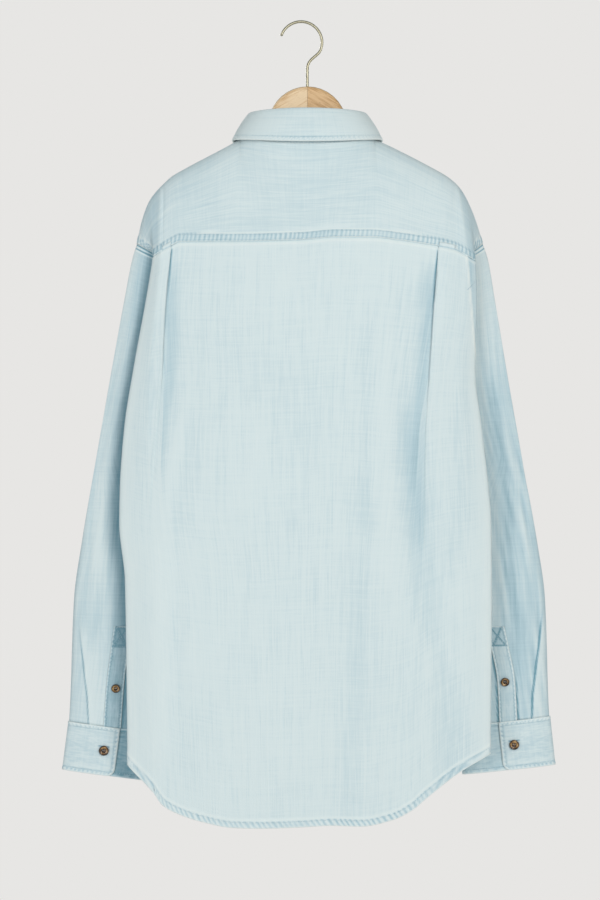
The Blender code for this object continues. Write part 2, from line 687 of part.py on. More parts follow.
def add_collar_stand(finish):
    end = 180.0 + STAND_OVERLAP
    turn = np.concatenate([np.linspace(-end, -150, 6), np.linspace(-135, 135, 19), np.linspace(150, end, 6)])
    outward = np.array([np.sin(np.radians(turn)), np.cos(np.radians(turn))])
    bottom, fold = neck(turn), collar_fold(turn)
    lap = STAND_LAP * (ease((turn - 140.0) / 30.0) - ease((-turn - 140.0) / 30.0))
    low = (bottom[0] + lap * outward[0], bottom[1] - STAND_CLEAR, bottom[2] + lap * outward[1])
    inset = lap - STAND_INSET
    high = (fold[0] + inset * outward[0], fold[1] + STAND_BELOW_FOLD, fold[2] + inset * outward[1])
    corner = ease((np.abs(turn) - end + 8.0) / 8.0) * 0.3
    rows = [[between(a, b, share * (1.0 - corner)) for a, b in zip(low, high)] for share in (0.0, 0.5, 1.0)]
    across, down, out = np.array(rows).transpose(1, 0, 2)
    return cloth("collar_stand", [place(1, across, down, out)], finish, STAND_CLOTH)


# ---------------------------------------------------------------- buttons


def add_button(name, point, facing, diameter, finish):
    """A button with a raised rim, turned about its axis, with its back at the point."""
    r = diameter * MM / 2.0
    t = BUTTON_THICK * MM
    profile = [
        (0.0, 0.0),
        (0.86 * r, 0.0),
        (r, 0.35 * t),
        (r, 0.75 * t),
        (0.86 * r, t),
        (0.68 * r, 0.72 * t),
        (0.0, 0.72 * t),
    ]
    shape = bmesh.new()
    outline = [shape.verts.new((x, 0.0, z)) for x, z in profile]
    edges = [shape.edges.new(pair) for pair in zip(outline, outline[1:])]
    bmesh.ops.spin(
        shape,
        geom=outline + edges,
        cent=(0, 0, 0),
        axis=(0, 0, 1),
        angle=2.0 * math.pi,
        steps=BUTTON_SIDES,
        use_merge=True,
    )
    bmesh.ops.remove_doubles(shape, verts=shape.verts, dist=1e-6)
    bmesh.ops.recalc_face_normals(shape, faces=shape.faces)
    mesh = bpy.data.meshes.new(name)
    shape.to_mesh(mesh)
    shape.free()
    mesh.materials.append(finish)
    mesh.set_sharp_from_angle(angle=math.radians(40.0))
    made = bpy.data.objects.new(name, mesh)
    bpy.context.scene.collection.objects.link(made)
    made.rotation_mode = "QUATERNION"
    made.rotation_quaternion = Vector((0, 0, 1)).rotation_difference(Vector(facing))
    made.location = point
    return made


def facing_of(side, surface, across, down):
    """The way a piece of cloth faces, from how far out it is just beside a place."""
    step = 1.0
    slope_across = (surface(across + step, down) - surface(across - step, down)) / (2.0 * step)
    slope_down = (surface(across, down + step) - surface(across, down - step)) / (2.0 * step)
    normal = np.array([-side * slope_across, 1.0, slope_down], float)
    return normal / np.linalg.norm(normal)


def add_buttons(finish):
    def over_front(across, down):
        return float(front_out(across, LEFT, down)) - LAP_OVER - CLOTH / 2.0

    lift = SEAM_GAP
    for index in range(FRONT_BUTTONS):
        down = FRONT_BUTTONS_FROM + FRONT_BUTTONS_PITCH * index
        facing = -facing_of(LEFT, over_front, 0.0, down)
        point = place(LEFT, 0.0, down, over_front(0.0, down)) + facing * lift * MM
        add_button(f"button_front_{index + 1}", point, facing, SHIRT_BUTTON, finish)
    low, fold = neck(180.0), collar_fold(180.0)
    low_out, high_out = float(low[2]) - STAND_LAP, float(fold[2]) - STAND_LAP + STAND_INSET
    low_down, high_down = float(low[1]) - STAND_CLEAR, float(fold[1]) + STAND_BELOW_FOLD
    facing = np.array([0.0, -(low_down - high_down), -(low_out - high_out)])
    facing = facing / np.linalg.norm(facing)
    middle = place(1, 0.0, (low_down + high_down) / 2.0, (low_out + high_out) / 2.0)
    point = middle + facing * (STAND_CLOTH / 2.0 + lift) * MM
    add_button("button_stand", point, facing, SHIRT_BUTTON, finish)
    for side in (LEFT, RIGHT):
        down, button = PLACKET_BUTTONS[side]

        def over_placket(across, down):
            return float(placket_out(side, across, down)) + PLACKET_CLOTH / 2.0

        facing = facing_of(side, over_placket, button, down)
        point = place(side, button, down, over_placket(button, down)) + facing * lift * MM
        add_button("button_placket_" + hand(side), point, facing, PLACKET_BUTTON, finish)
        along, below = CUFF_BUTTON
        turn = math.degrees(math.acos(2.0 * along / CUFF_WIDTH))
        out = float(cuff_ring(turn, CUFF_LAP * 0.9)[1]) + CUFF_CLOTH / 2.0 + lift
        point = cuff_point(side, along, below, out)
        add_button("button_cuff_" + hand(side), point, (0, 1, 0), SHIRT_BUTTON, finish)


# ---------------------------------------------------------------- hanger and hook


def wood_outline():
    """One half of the hanger, seen from the front: across and down, from the joint's top round to its foot."""
    turns = np.radians(np.linspace(0.0, 62.0, 7))
    hump = [(HUMP_RADIUS * math.sin(a), HUMP_TOP + HUMP_RADIUS * (1.0 - math.cos(a))) for a in turns]
    shares = np.linspace(0.06, 0.6, 9)
    over, down = (ridge(LEFT, shares)[i] for i in (0, 1))
    arm = [(x - 2.0 * share, z + ARM_BELOW_RIDGE) for x, z, share in zip(over, down, shares)]
    tip_turns = np.radians((-20, 20, 60, 100))
    tip = [(ARM_TIP[0] + 9.0 * math.cos(a), ARM_TIP[1] + 9.0 * math.sin(a)) for a in tip_turns]
    foot = [(x - 13.0, z + WOOD_DEPTH) for x, z in list(zip(over, down))[-2::-2]]
    dip = [(46.0, 107.0), (52.0, 117.0), (60.0, 127.0), (69.0, 133.5)]
    return hump + dip + arm + tip + foot + [(30.0, 131.0), (0.0, 121.0)]


def add_hanger_half(side, finish):
    outline = [(max(x, SEAM_GAP / 2.0), z) for x, z in wood_outline()]
    half = WOOD_THICK / 2.0
    shape = bmesh.new()
    corners = [shape.verts.new(place(side, x, z, -half)) for x, z in outline]
    face = shape.faces.new(corners)
    pushed = bmesh.ops.extrude_face_region(shape, geom=[face])["geom"]
    moved = [v for v in pushed if isinstance(v, bmesh.types.BMVert)]
    bmesh.ops.translate(shape, verts=moved, vec=(0.0, WOOD_THICK * MM, 0.0))
    bmesh.ops.recalc_face_normals(shape, faces=shape.faces)
    rim = [
        edge
        for edge in shape.edges
        if abs(edge.verts[0].co.y - edge.verts[1].co.y) < 1e-6
        and max(abs(v.co.x - SHANK_X * MM) for v in edge.verts) > 1e-3
    ]
    bmesh.ops.bevel(shape, geom=rim, offset=WOOD_ROUND * MM, segments=2, profile=0.5, affect="EDGES")
    mesh = bpy.data.meshes.new("hanger_" + hand(side))
    shape.to_mesh(mesh)
    shape.free()
    mesh.materials.append(finish)
    mesh.shade_smooth()
    made = bpy.data.objects.new(mesh.name, mesh)
    bpy.context.scene.collection.objects.link(made)
    return made


def hook_route():
    """The wire's middle, from its free end over the top and down the shank: across and down."""
    centre = (LOOP_ACROSS, LOOP_RADIUS - WIRE / 2.0)
    loop = [
        (centre[0] + LOOP_RADIUS * math.cos(a), centre[1] - LOOP_RADIUS * math.sin(a))
        for a in np.radians(np.linspace(18.0, 200.0, 17))
    ]
    start, end = np.array(loop[-1]), np.array((0.0, 52.0))
    lead = (start + 8.0 * np.array((0.342, 0.94)), np.array((0.0, 40.0)))
    bend = []
    for t in np.linspace(0.0, 1.0, 7)[1:]:
        weights = ((1 - t) ** 3, 3 * t * (1 - t) ** 2, 3 * t * t * (1 - t), t**3)
        bend.append(tuple(sum(w * p for w, p in zip(weights, (start, lead[0], lead[1], end)))))
    return loop + bend + [(0.0, HOOK_FOOT)]


def add_hook(finish):
    path = bpy.data.curves.new("hook", "CURVE")
    path.dimensions = "3D"
    path.bevel_depth = WIRE * MM / 2.0
    path.bevel_resolution = 3
    path.use_fill_caps = True
    spline = path.splines.new("POLY")
    route = [place(1, x, z, 0.0) for x, z in hook_route()]
    spline.points.add(len(route) - 1)
    for point, at in zip(spline.points, route):
        point.co = (*at, 1.0)
    path.materials.append(finish)
    made = bpy.data.objects.new("hook", path)
    bpy.context.scene.collection.objects.link(made)
    return made


def cut_shank_hole(halves):
    shape = bmesh.new()
    depth = (HOOK_FOOT + 1.0 - HUMP_TOP + 10.0) * MM
    bmesh.ops.create_cone(
        shape,
        cap_ends=True,
        segments=16,
        radius1=(WIRE / 2.0 + SEAM_GAP) * MM,
        radius2=(WIRE / 2.0 + SEAM_GAP) * MM,
        depth=depth,
    )
    mesh = bpy.data.meshes.new("shank_hole")
    shape.to_mesh(mesh)
    shape.free()
    cutter = bpy.data.objects.new("shank_hole", mesh)
    bpy.context.scene.collection.objects.link(cutter)
    cutter.location = (SHANK_X * MM, 0.0, -(HUMP_TOP - 10.0) * MM - depth / 2.0)
    cutter.hide_render = True
    cutter.display_type = "WIRE"
    for half in halves:
        cut = half.modifiers.new("Shank hole", "BOOLEAN")
        cut.operation = "DIFFERENCE"
        cut.object = cutter


def main():
    for old in list(bpy.data.objects):
        bpy.data.objects.remove(old, do_unlink=True)
    denim = material("washed denim", (0.56, 0.66, 0.70), 0.9)
    horn = material("tortoiseshell button", (0.10, 0.06, 0.03), 0.3)
    pale = material("pale wood", (0.76, 0.58, 0.38), 0.45)
    warm = material("warm wood", (0.66, 0.45, 0.24), 0.45)
    nickel = material("nickel wire", (0.70, 0.69, 0.66), 0.28, 1.0)
    add_back(denim)
    add_yoke(denim)
    add_collar(denim)
    add_collar_stand(denim)
    for side in (LEFT, RIGHT):
        add_front(side, denim)
        add_sleeve(side, denim)
        add_cuff(side, denim)
        add_sleeve_placket(side, denim)
    add_buttons(horn)
    halves = [add_hanger_half(LEFT, pale), add_hanger_half(RIGHT, warm)]
    add_hook(nickel)
    cut_shank_hole(halves)


main()
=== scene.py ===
"""The looks of a long-sleeved washed denim shirt, buttoned up, on a wooden hanger with a wire hook.

Sizes are in millimetres: "across" runs from the shirt's middle towards the side in hand, "down" runs down
from the underside of the hook's top, and "out" runs along +Y, where the shirt's back faces. place() turns
them into metres in the frame. Each piece of cloth is a grid through its wall's middle, with a Solidify.
"""

import math

import bmesh
import bpy
import numpy as np
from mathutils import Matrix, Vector

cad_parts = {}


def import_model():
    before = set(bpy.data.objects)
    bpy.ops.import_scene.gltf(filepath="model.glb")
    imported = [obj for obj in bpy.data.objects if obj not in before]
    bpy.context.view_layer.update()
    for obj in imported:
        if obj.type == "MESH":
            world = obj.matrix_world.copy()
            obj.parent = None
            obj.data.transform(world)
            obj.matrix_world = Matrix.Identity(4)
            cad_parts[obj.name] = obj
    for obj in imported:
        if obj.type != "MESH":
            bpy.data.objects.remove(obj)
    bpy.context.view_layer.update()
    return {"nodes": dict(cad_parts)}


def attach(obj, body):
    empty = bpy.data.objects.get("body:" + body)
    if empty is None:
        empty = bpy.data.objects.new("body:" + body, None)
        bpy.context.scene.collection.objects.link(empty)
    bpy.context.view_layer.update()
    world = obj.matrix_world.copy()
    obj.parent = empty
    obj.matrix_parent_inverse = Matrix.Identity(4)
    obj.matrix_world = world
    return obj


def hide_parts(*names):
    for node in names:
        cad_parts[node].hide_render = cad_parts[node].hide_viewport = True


MM = 0.001
LEFT, RIGHT = 1, -1

# Cloth and seams
CLOTH, CUFF_CLOTH, COLLAR_CLOTH, STAND_CLOTH, PLACKET_CLOTH = 1.2, 2.2, 1.8, 1.6, 1
SEAM_GAP, FRONT_GAP = 0.1, 0.2  # what is left open between pieces that meet at a seam
STITCH_PITCH, STITCH_LENGTH, THREAD = 3, 2.3, 0.42  # how far apart stitches are, their length and width

# Rings round the neck, its seam and the collar's fold: how far across, how far out and down at the back, the
# same at the front, and how far down at the side
NECK = (75, (37, 141), (54, 188), 131.5)
FOLD = (64.5, (36, 101.5), (49, 160), 103)

# Collar and stand
FALL_ACROSS, FALL_BACK, FALL_DOWN_BACK, FALL_DOWN_SIDE = 84.5, 43, 139, 133.2  # the collar's lower edge
POINT_ACROSS, POINT_OUT, POINT_DOWN = 47, -63, 222
FALL_END = 172  # degrees round the neck from the middle of the back
YOKE_FRONT_END = 122  # degrees, where the front yoke seam meets the neck
STAND_OVERLAP = 13  # degrees past the middle of the front
STAND_BELOW_FOLD, STAND_INSET = 6, 2.2  # how far the stand's top is under the collar's fold, and inside it
STAND_CLEAR, STAND_LAP = 0.6, 1.1  # how far over the neck seam its front starts, and its ends lap in or out
STAND_BEHIND = 1.5  # the stand's lower edge is sewn on inside the neck, this far in and down
COLLAR_ROLL = ((-2.2, 4.6), (-1.6, 1.2), (0.4, 0), (2.9, 1.6))  # out and down from the fold, over its top
COLLAR_BULGE = 1.5  # how far the collar swells out between its fold and its edge

# Body
UNDERARM = 530  # how far down the armhole ends
SIDE_FOLD_RUN = 6
PLACKET_HALF = 17  # half the width of the front's button band
SEAM_SIDE_HEM, FRONT_HEM_MIDDLE = 815, 880  # how far down the hem is at the side seam and at the button band
HEM_LEVEL = 850  # about how far down the back's hem is, where its run across is taken
ARMHOLE_TOP, ARMHOLE_CORNER = 250, 265  # how far down the yoke ends: outside on the arm, and at the armholes
LAP_OVER, LAP_UNDER = 1, 0.9  # how far the left front's button band lies forward, and the right one's back
RIDGE_STEP = 0.54  # the step across the yoke where its top leaves the neck for the ridge
UNDER_FOLD = 3.4  # the step across the back past which it has turned under its side fold

# Cuffs and sleeve plackets
CUFF_WIDTH, CUFF_HEIGHT, CUFF_THICK = 105, 55.5, 17
CUFF_OVERLAP_END, CUFF_UNDERLAP_END = -7, 18  # how far along from the cuff's middle its two ends are
CUFF_LAP, CUFF_CORNER = 1.35, 9  # how far the ends lap in or out, and the radius of the corner
CUFF_SHADE = {LEFT: 0.34, RIGHT: 0.1}  # how much painted shade darkens the lap next to the body, where the body's shadow falls
PLACKET_WIDTH, PLACKET_TOP, PLACKET_END = 20, 684, 798
PLACKET_FADE_AND_SHADE = {LEFT: 0.2, RIGHT: 0.36}  # how pale each placket is; the left one darker with painted shade, as it lies in the body's shadow
BUTTONHOLE_ABOVE, BUTTONHOLE_HALF = 4.4, 6  # a cuff's buttonhole: how far over its button, half its length
SLEEVE_END = 803
CUFF_DRAW = 600  # from here down a sleeve is drawn to meet its cuff
SMOOTH_ABOVE = 290  # down to here a sleeve has no small wrinkles and less painted shade

# Hook
WIRE = 3.2
GLUE_SUNK = 0.1  # how far the glue in the hanger's joint lies under the wood's surface
LOOP_RADIUS, LOOP_ACROSS = 23.7, 7.2  # the round of the hook, and how far its centre is from the shank
HOOK_FOOT = 98  # how far down the wire ends, inside the hanger
SHANK_X = -LOOP_ACROSS  # the shank is the shirt's middle, and the frame's middle is under the hook's round

# Details sewn into the cloth
FELL = 8.6  # the width of a felled seam
SEAM_ROWS, PUCKER = (1.4, 7.8), 4.8  # the rows of a felled seam, and how far apart puckers are
HEM_BAND, HEM_ROW, ROPING = 8, 6.6, 6.2  # a hem's width, how far up its row is, how far apart it ropes
COLLAR_ROW, STAND_ROW, CUFF_ROW, PLACKET_ROW, FRONT_ROW = 5.2, 3, 4.2, 2.6, 5  # how far in from the edges
BOX_TACK = 23  # how far down the placket its box of stitches runs
YOKE_SHADE = 0.1  # how much painted shade darkens the yoke where it turns into the side fold

# Long soft folds: width, height, then the down and across of points on the fold's line. Across is to the left
BACK_FOLDS = (
    (16, -1.3, (440, -109), (535, -124), (590, -130), (671, -136), (752, -157), (822, -157)),
    (12, -0.7, (320, -65), (563, -65), (644, -60), (888, -45)),
    (10, 0.6, (320, -87), (600, -87)),
    (10, -0.7, (412, -112), (617, -119)),
    (16, 0.9, (440, 140), (562, 164), (805, 170)),
    (9, -0.6, (430, 122), (562, 146), (805, 148)),
)
SLEEVE_FOLDS = {
    LEFT: ((9, 2, (330, 196), (470, 222), (600, 240)),),
    RIGHT: (
        (7, -2, (400, 208), (470, 218), (545, 232)),
        (6, 1.6, (430, 222), (500, 232), (600, 250)),
        (6, -1.6, (560, 224), (700, 240)),
    ),
}
# Pressed edges: the side they rise on, reach, height, how dark their painted shadow line is, then points'
# down and across
BACK_CREASES = (
    (1, 18, -1.5, 0, (262, -147), (325, -141.5), (400, -136.7), (470, -132.5), (590, -131)),
    (-1, 7, -0.6, 0, (255, 153), (325, 159.5), (400, 163.7), (470, 170.7), (540, 176)),
)
SLEEVE_CREASES = {
    LEFT: ((-1, 12, 1.4, 0.5, (680, 261), (739, 254.5), (775, 251), (830, 249.5)),),
    RIGHT: (
        (1, 16, 1.6, 0.7, (660, 269.5), (700, 265), (738, 260.5), (768, 257.5), (830, 256.5)),
        (-1, 7, -0.8, 0.4, (722, 238), (775, 240.5), (830, 245.5)),
    ),
}
# The back's seam with the right sleeve, where it shows: points' down and across. Then a bar tack on it: the
# across and down of both its ends, and how far beside them its rows of stitches run
BACK_ARMHOLE = ((262, -177), (294, -180), (322, -182.4), (361, -186), (389, -189.5))
BAR_TACK = ((-178, 304), (-187, 295))
BAR_ROWS = (-1, -0.5, 0, 0.5, 1)
# How much painted shade each sleeve has: the reach of the stretch beside the body, all over, and in there,
# where the body's shadow falls
SLEEVE_SHADE = {LEFT: (34, 0.08, 0.46), RIGHT: (26, 0.18, -0.07)}
SLEEVE_CRUMPLE = {LEFT: 0.3, RIGHT: 0.65}  # the height of the small wrinkles
# The rows along a sleeve's seam with the yoke: how far down from it, and how much paler or bluer
HEAD_ROWS = ((1, -0.5), (3, 0.2), (4.8, -0.45), (6.6, 0.35))

# Buttons
CUFF_BUTTON = (8, 27)  # along from the cuff's middle, and below its top edge
PLACKET_BUTTONS = {LEFT: (755, 218.7), RIGHT: (747.6, 225.5)}  # down and across
SHIRT_BUTTON, PLACKET_BUTTON, BUTTON_THICK = 11.4, 10, 2.6
BUTTON_LIFT, HOLE_AWAY = 0.3, 1.05  # how far a button is off its cloth, and its holes off its middle lines
FRONT_BUTTONS_FROM, FRONT_BUTTONS_PITCH, FRONT_BUTTONS = 238, 92, 6  # how far down, how far apart, how many

# The stage
FLOOR_HEIGHT, FLOOR_RADIUS = -1.7, 3.6
ROOM_LIGHT, KEY_POWER, FILL_POWER = 0.4, 50, 36

# Each piece of cloth: the solid it stands for, how large it was cut in metres, and its area in square metres
SHEETS = {
    "back": ("back", 0.52, 0.67, 0.333),
    "yoke": ("yoke", 0.46, 0.2, 0.056),
    "collar": ("collar", 0.42, 0.075, 0.019),
    "stand": ("collar_stand", 0.44, 0.034, 0.0107),
    "front": ("front", 0.19, 0.7, 0.117),
    "sleeve": ("sleeve", 0.33, 0.56, 0.113),
    "cuff": ("cuff", 0.26, 0.056, 0.0138),
    "placket": ("sleeve_placket", 0.0205, 0.118, 0.0023),
}


def table(names, *rows):
    """The columns of a table by name."""
    return dict(zip(names.split(), np.array(rows, float).T))


# The ridge of the shoulder and the outside of the sleeve head, from the neck out
RIDGE = table(
    "down left right",
    (131.5, 75, 75),
    (142, 94, 97.5),
    (165, 137.5, 142),
    (174, 153, 157.5),
    (183, 163, 168.5),
    (192, 171.5, 175.5),
    (201, 178, 180.5),
    (212, 183, 185.5),
    (228, 188, 191.5),
    (250, 192.5, 198),
)
# The big fold down each side of the back: its edge, the seam in the valley behind it, and that seam's depth
SIDE = table(
    "down edge_left edge_right valley_left valley_right sink",
    (240, 169, 182.5, 163, 176, 8),
    (265, 173, 188, 162.5, 175, 5),
    (315, 181.5, 190.5, 164, 170, 0),
    (390, 195.5, 188.5, 164, 160, -5),
    (460, 206.5, 196.5, 158, 155, -8),
    (530, 211.5, 204.5, 150, 150, -11),
    (565, 212, 207, 150, 150, -11),
    (632, 205.5, 207.7, 150, 150, -10),
    (910, 202, 205.5, 150, 150, -8),
)
# The two pleats in the back, at the edge that shows. The cloth under a pleat runs further out than its edge
PLEAT = table(
    "down left right throw_left throw_right width lift",
    (240, 152, 148.5, 6, 11, 7, 1.6),
    (325, 159.5, 141.5, 6, 8, 8, 3.2),
    (400, 163.7, 136.7, 2, 2.5, 11, 2.4),
    (470, 170.7, 132.5, 0, 0, 14, 1.8),
    (540, 176, 132, 0, 0, 22, 1.2),
    (650, 172, 132, 0, 0, 36, 0.5),
    (910, 166, 132, 0, 0, 40, 0),
)
# How far the body stands out: the back at its middle and sides, and the front at its middle and sides
DEPTH = table(
    "down spine side front front_across_left front_across_right front_side",
    (188, 33, 22, -54, 165, 170.5, -18),
    (265, 30, 20, -41, 165, 170.5, -18),
    (315, 31, 18.5, -34, 155, 157, -23),
    (400, 32, 15.5, -29, 148, 149, -26),
    (480, 31, 13.5, -27, 147, 147, -23),
    (530, 30, 13, -26, 150, 150, -11.9),
    (600, 28, 13, -25, 150, 150, -11),
    (910, 24, 12, -21, 150, 150, -9),
)
# The sleeves: their outer and inner edges, and how far their two faces swell from a line between those
OUTER = table(
    "down left right out",
    (250, 192.5, 198, -2),
    (268, 198, 204, -4),
    (313, 207, 212, -7),
    (404, 224, 228, -14),
    (495, 240.5, 244.5, -21),
    (586, 257, 262, -32),
    (655, 267, 272, -38),
    (770, 271.5, 276, -41),
    (795, 273, 277.5, -42),
)
INNER = table(
    "down across out back front",
    (250, 165, 0, 2, 3),
    (315, 165, 0, 1.5, 6),
    (400, 160, 0, 0, 10),
    (480, 155, 0, 0, 13),
    (530, 151.4, -12, 0.5, 15),
    (560, 141, -25, 5, 17),
    (600, 132, -36, 11, 19),
    (650, 128, -40, 15, 19),
    (700, 132, -41, 15, 18),
    (750, 147, -41.5, 13, 14),
    (803, 169, -42, 8, 9),
)
# The back's seam with the yoke, and its hem
YOKE_SEAM = table(
    "across down",
    (-188, 270),
    (-163, 257.4),
    (-135, 252.5),
    (-106, 248.4),
    (-70, 244.7),
    (-34, 244.7),
    (8, 247.8),
    (85, 249.5),
    (143, 249.5),
    (152, 253.3),
    (173, 265),
)
HEM = table(
    "across down",
    (-205.5, 826),
    (-173, 844.4),
    (-137, 871.5),
    (-117, 888),
    (-97, 898),
    (-60, 905.5),
    (-27, 904.5),
    (3, 906),
    (53, 907.8),
    (84, 907.2),
    (120.5, 900.5),
    (145, 892.6),
    (164, 882),
    (173, 869),
    (202, 839.5),
)
# The front yoke seam, measured from the ridge above it, by the share of the way from the neck to the armhole
FRONT_SEAM = table(
    "along across down out",
    (0, -11.4, 15.9, -28.6),
    (0.22, -13, 27, -23.5),
    (0.42, -18, 32, -19.5),
    (0.62, -27, 25, -18),
    (0.8, -31, 17, -18),
    (1, -27.5, 15, -18),
)
# The cuffs: the middle of the top edge, the lean of the bottom away from the body, and the ring's depth
CUFFS = {LEFT: (221.2, 800.9, 7.2, -42), RIGHT: (225.6, 794, 6, -42)}
PLACKET_LINE = table(
    "down left right",
    (684, 210.5, 214.5),
    (708, 214, 219.5),
    (748, 219.3, 226.8),
    (800, 223.6, 230),
)


def curve(at, stations, values):
    """A smooth curve through a table's values that never swings past them: a monotone cubic."""
    at = np.clip(at, stations[0], stations[-1])
    steps = np.diff(stations)
    slopes = np.diff(values) / steps
    before, after = slopes[:-1], slopes[1:]
    same_way = before * after > 0
    total = np.where(same_way, before + after, 1)
    inner = np.where(same_way, 2 * before * after / total, 0)
    tangents = np.concatenate([slopes[:1], inner, slopes[-1:]])
    k = np.clip(np.searchsorted(stations, at, side="right") - 1, 0, len(steps) - 1)
    t = (at - stations[k]) / steps[k]
    rise = values[k] + (values[k + 1] - values[k]) * t * t * (3 - 2 * t)
    return rise + t * (1 - t) * steps[k] * ((1 - t) * tangents[k] - t * tangents[k + 1])


def read(rows, at, name, by="down"):
    """A table's column anywhere along another one."""
    return curve(at, rows[by], rows[name])


def ease(x):
    """0 below 0, 1 above 1, and a smooth step between."""
    x = np.clip(x, 0, 1)
    return x * x * (3 - 2 * x)


def fall(x):
    """1 below 0, 0 above 1, and a smooth step between."""
    return 1 - ease(x)


def between(a, b, share):
    return a + (b - a) * share


def unit(vectors):
    return vectors / np.maximum(np.linalg.norm(vectors, axis=-1, keepdims=True), 1e-12)


def hand(side):
    return "left" if side == LEFT else "right"


def place(side, across, down, out):
    """Points in metres in the part's frame, from sizes on one side of the shirt."""
    across, down, out = np.broadcast_arrays(across, down, out)
    return np.stack([(side * across + SHANK_X) * MM, out * MM, -down * MM], axis=-1)


# ---------------------------------------------------------------- the shirt's surfaces


def wrap(clear):
    """How far cloth stands out from its ridge, at a distance down from it: round at first, then flat."""
    return 30 * np.tanh(np.sqrt(16 * np.maximum(clear, 0)) / 30)


def ridge(side, share):
    """The shoulder's ridge, from the neck (0) to the outside of the armhole (1)."""
    across, down = RIDGE[hand(side)], RIDGE["down"]
    run = np.concatenate([[0], np.cumsum(np.hypot(np.diff(across), np.diff(down)))])
    at = np.asarray(share) * run[-1]
    return curve(at, run, across), curve(at, run, down)


def turned(turn):
    """The sine and cosine of degrees: round the neck, how much of the way out is across and how much back."""
    return np.sin(np.radians(turn)), np.cos(np.radians(turn))


def ring(turn, sizes):
    """A ring round the neck, by degrees from the middle of the back: across, down and out."""
    across, back, front, down_side = sizes
    sine, cosine = turned(turn)
    out, lowest = (np.where(cosine > 0, behind, before) for behind, before in zip(back, front))
    return across * sine, between(down_side, lowest, cosine**2), out * cosine


def moved(line_of_points, way, out, down):
    """A ring moved away from the neck and down."""
    across, down_at, out_at = line_of_points
    return across + out * way[0], down_at + down, out_at + out * way[1]


def edge_of(side, down):
    return read(SIDE, down, "edge_" + hand(side))


def valley_of(side, down):
    """Across and out of the seam hidden behind the side fold: the armhole's, and lower down the side seam."""
    return read(SIDE, down, "valley_" + hand(side)), read(SIDE, down, "sink")


def back_out(across, side, down):
    bulge = np.clip(across / edge_of(side, down), 0, 1) ** 2.6
    return between(read(DEPTH, down, "spine"), read(DEPTH, down, "side"), bulge)


def side_start(side, down):
    """Where the side fold begins, half way between its edge and its valley."""
    return (edge_of(side, down) + valley_of(side, down)[0] - SIDE_FOLD_RUN) / 2


def pleat_edge(side, down):
    return read(PLEAT, down, hand(side))


def pleat_of(side, down):
    """The pleat's middle, its throw to each side, its width and its lift."""
    throw, width = read(PLEAT, down, "throw_" + hand(side)), read(PLEAT, down, "width")
    return pleat_edge(side, down) - width / 4 + throw, throw, width, read(PLEAT, down, "lift")


def pleat_lift(side, down, across):
    """What is left of the pleat's lift on the way from the pleat to the edge of the side fold."""
    middle, _, width, lift = pleat_of(side, down)
    outer = middle + width / 2
    return lift * (1 - 0.7 * ease((across - outer) / (edge_of(side, down) - outer)))


def side_fold(side, turn, down):
    """The side fold: over its edge at a turn of a quarter, and back in to the seam at three quarters."""
    valley, sink = valley_of(side, down)
    throw = (edge_of(side, down) - valley) / 2 + SIDE_FOLD_RUN / 4
    across = side_start(side, down) + SIDE_FOLD_RUN * turn + throw * np.sin(2 * np.pi * turn)
    rise = back_out(across, side, down) + pleat_lift(side, down, across)
    return across, between(rise, sink, (turn / 0.75) ** 1.3)


def back_section(side, step, down, pleated):
    """Across and out of the back: its middle is step 0 to 1, the pleat to 2, its side to 3, the fold to 4."""
    middle, throw, width, _ = pleat_of(side, down)
    start = side_start(side, down)
    inner, outer = middle - width / 2, np.minimum(middle + width / 2, start - 0.5)
    turn = np.clip(step - 1, 0, 1)
    across = np.where(step < 1, inner * step, between(outer, start, np.clip(step - 2, 0, 1)))
    folded = between(inner, outer, turn) + pleated * throw * np.sin(2 * np.pi * turn)
    across = np.where((step >= 1) & (step <= 2), folded, across)
    out = back_out(across, side, down) + turn * pleat_lift(side, down, across)
    fold_across, fold_out = side_fold(side, np.clip(step - 3, 0, 1) * 0.75, down)
    return np.where(step > 3, fold_across, across), np.where(step > 3, fold_out, out)


def front_side(side, down):
    """Across and out of the front's side edge: the front armhole seam, and below it the side seam."""
    across, out = (read(DEPTH, down, name) for name in ("front_across_" + hand(side), "front_side"))
    return across, np.where(down >= UNDERARM, valley_of(side, down)[1] - CLOTH / 2 - SEAM_GAP, out)


def front_out(across, side, down):
    at_side, out_side = front_side(side, down)
    return between(read(DEPTH, down, "front"), out_side, np.clip(np.abs(across) / at_side, 0, 1) ** 2.2)


def front_seam(side, share):
    """The front yoke seam, by the share of the way from the neck to the armhole: across, down, out."""
    over, down = ridge(side, share)
    steps = [read(FRONT_SEAM, share, name, "along") for name in ("across", "down", "out")]
    return over + steps[0], down + steps[1], steps[2]


def sleeve_section(side, turn, down):
    """Across and out round a sleeve: turn 0 is its inner edge or the back armhole seam, 0.5 its outer one."""
    below = ease((down - UNDERARM + 45) / 60)
    seam, sink = valley_of(side, down)
    front, front_at = front_side(side, down)
    low = down >= UNDERARM
    inner, inner_out = read(INNER, down, "across"), read(INNER, down, "out")
    start, end = np.where(low, inner, seam + SEAM_GAP), np.where(low, inner, front + FRONT_GAP)
    start_out = np.where(low, inner_out, sink - CLOTH / 2 - 2 * SEAM_GAP)
    end_out = np.where(low, inner_out, front_at)
    before = turn > 0.5
    at = np.where(before, 2 - 2 * turn, 2 * turn)  # 0 at an inner edge, 1 at the outer one
    run = between(np.sin(np.pi * at / 2), (1 - np.cos(np.pi * at)) / 2, below)
    swell = np.abs(np.sin(np.pi * at)) ** between(1, 0.8, below)
    swell = swell * np.where(before, -read(INNER, down, "front"), read(INNER, down, "back"))
    across = between(np.where(before, end, start), read(OUTER, down, hand(side)), run)
    return across, between(np.where(before, end_out, start_out), read(OUTER, down, "out"), run) + swell


# ---------------------------------------------------------------- colours and materials


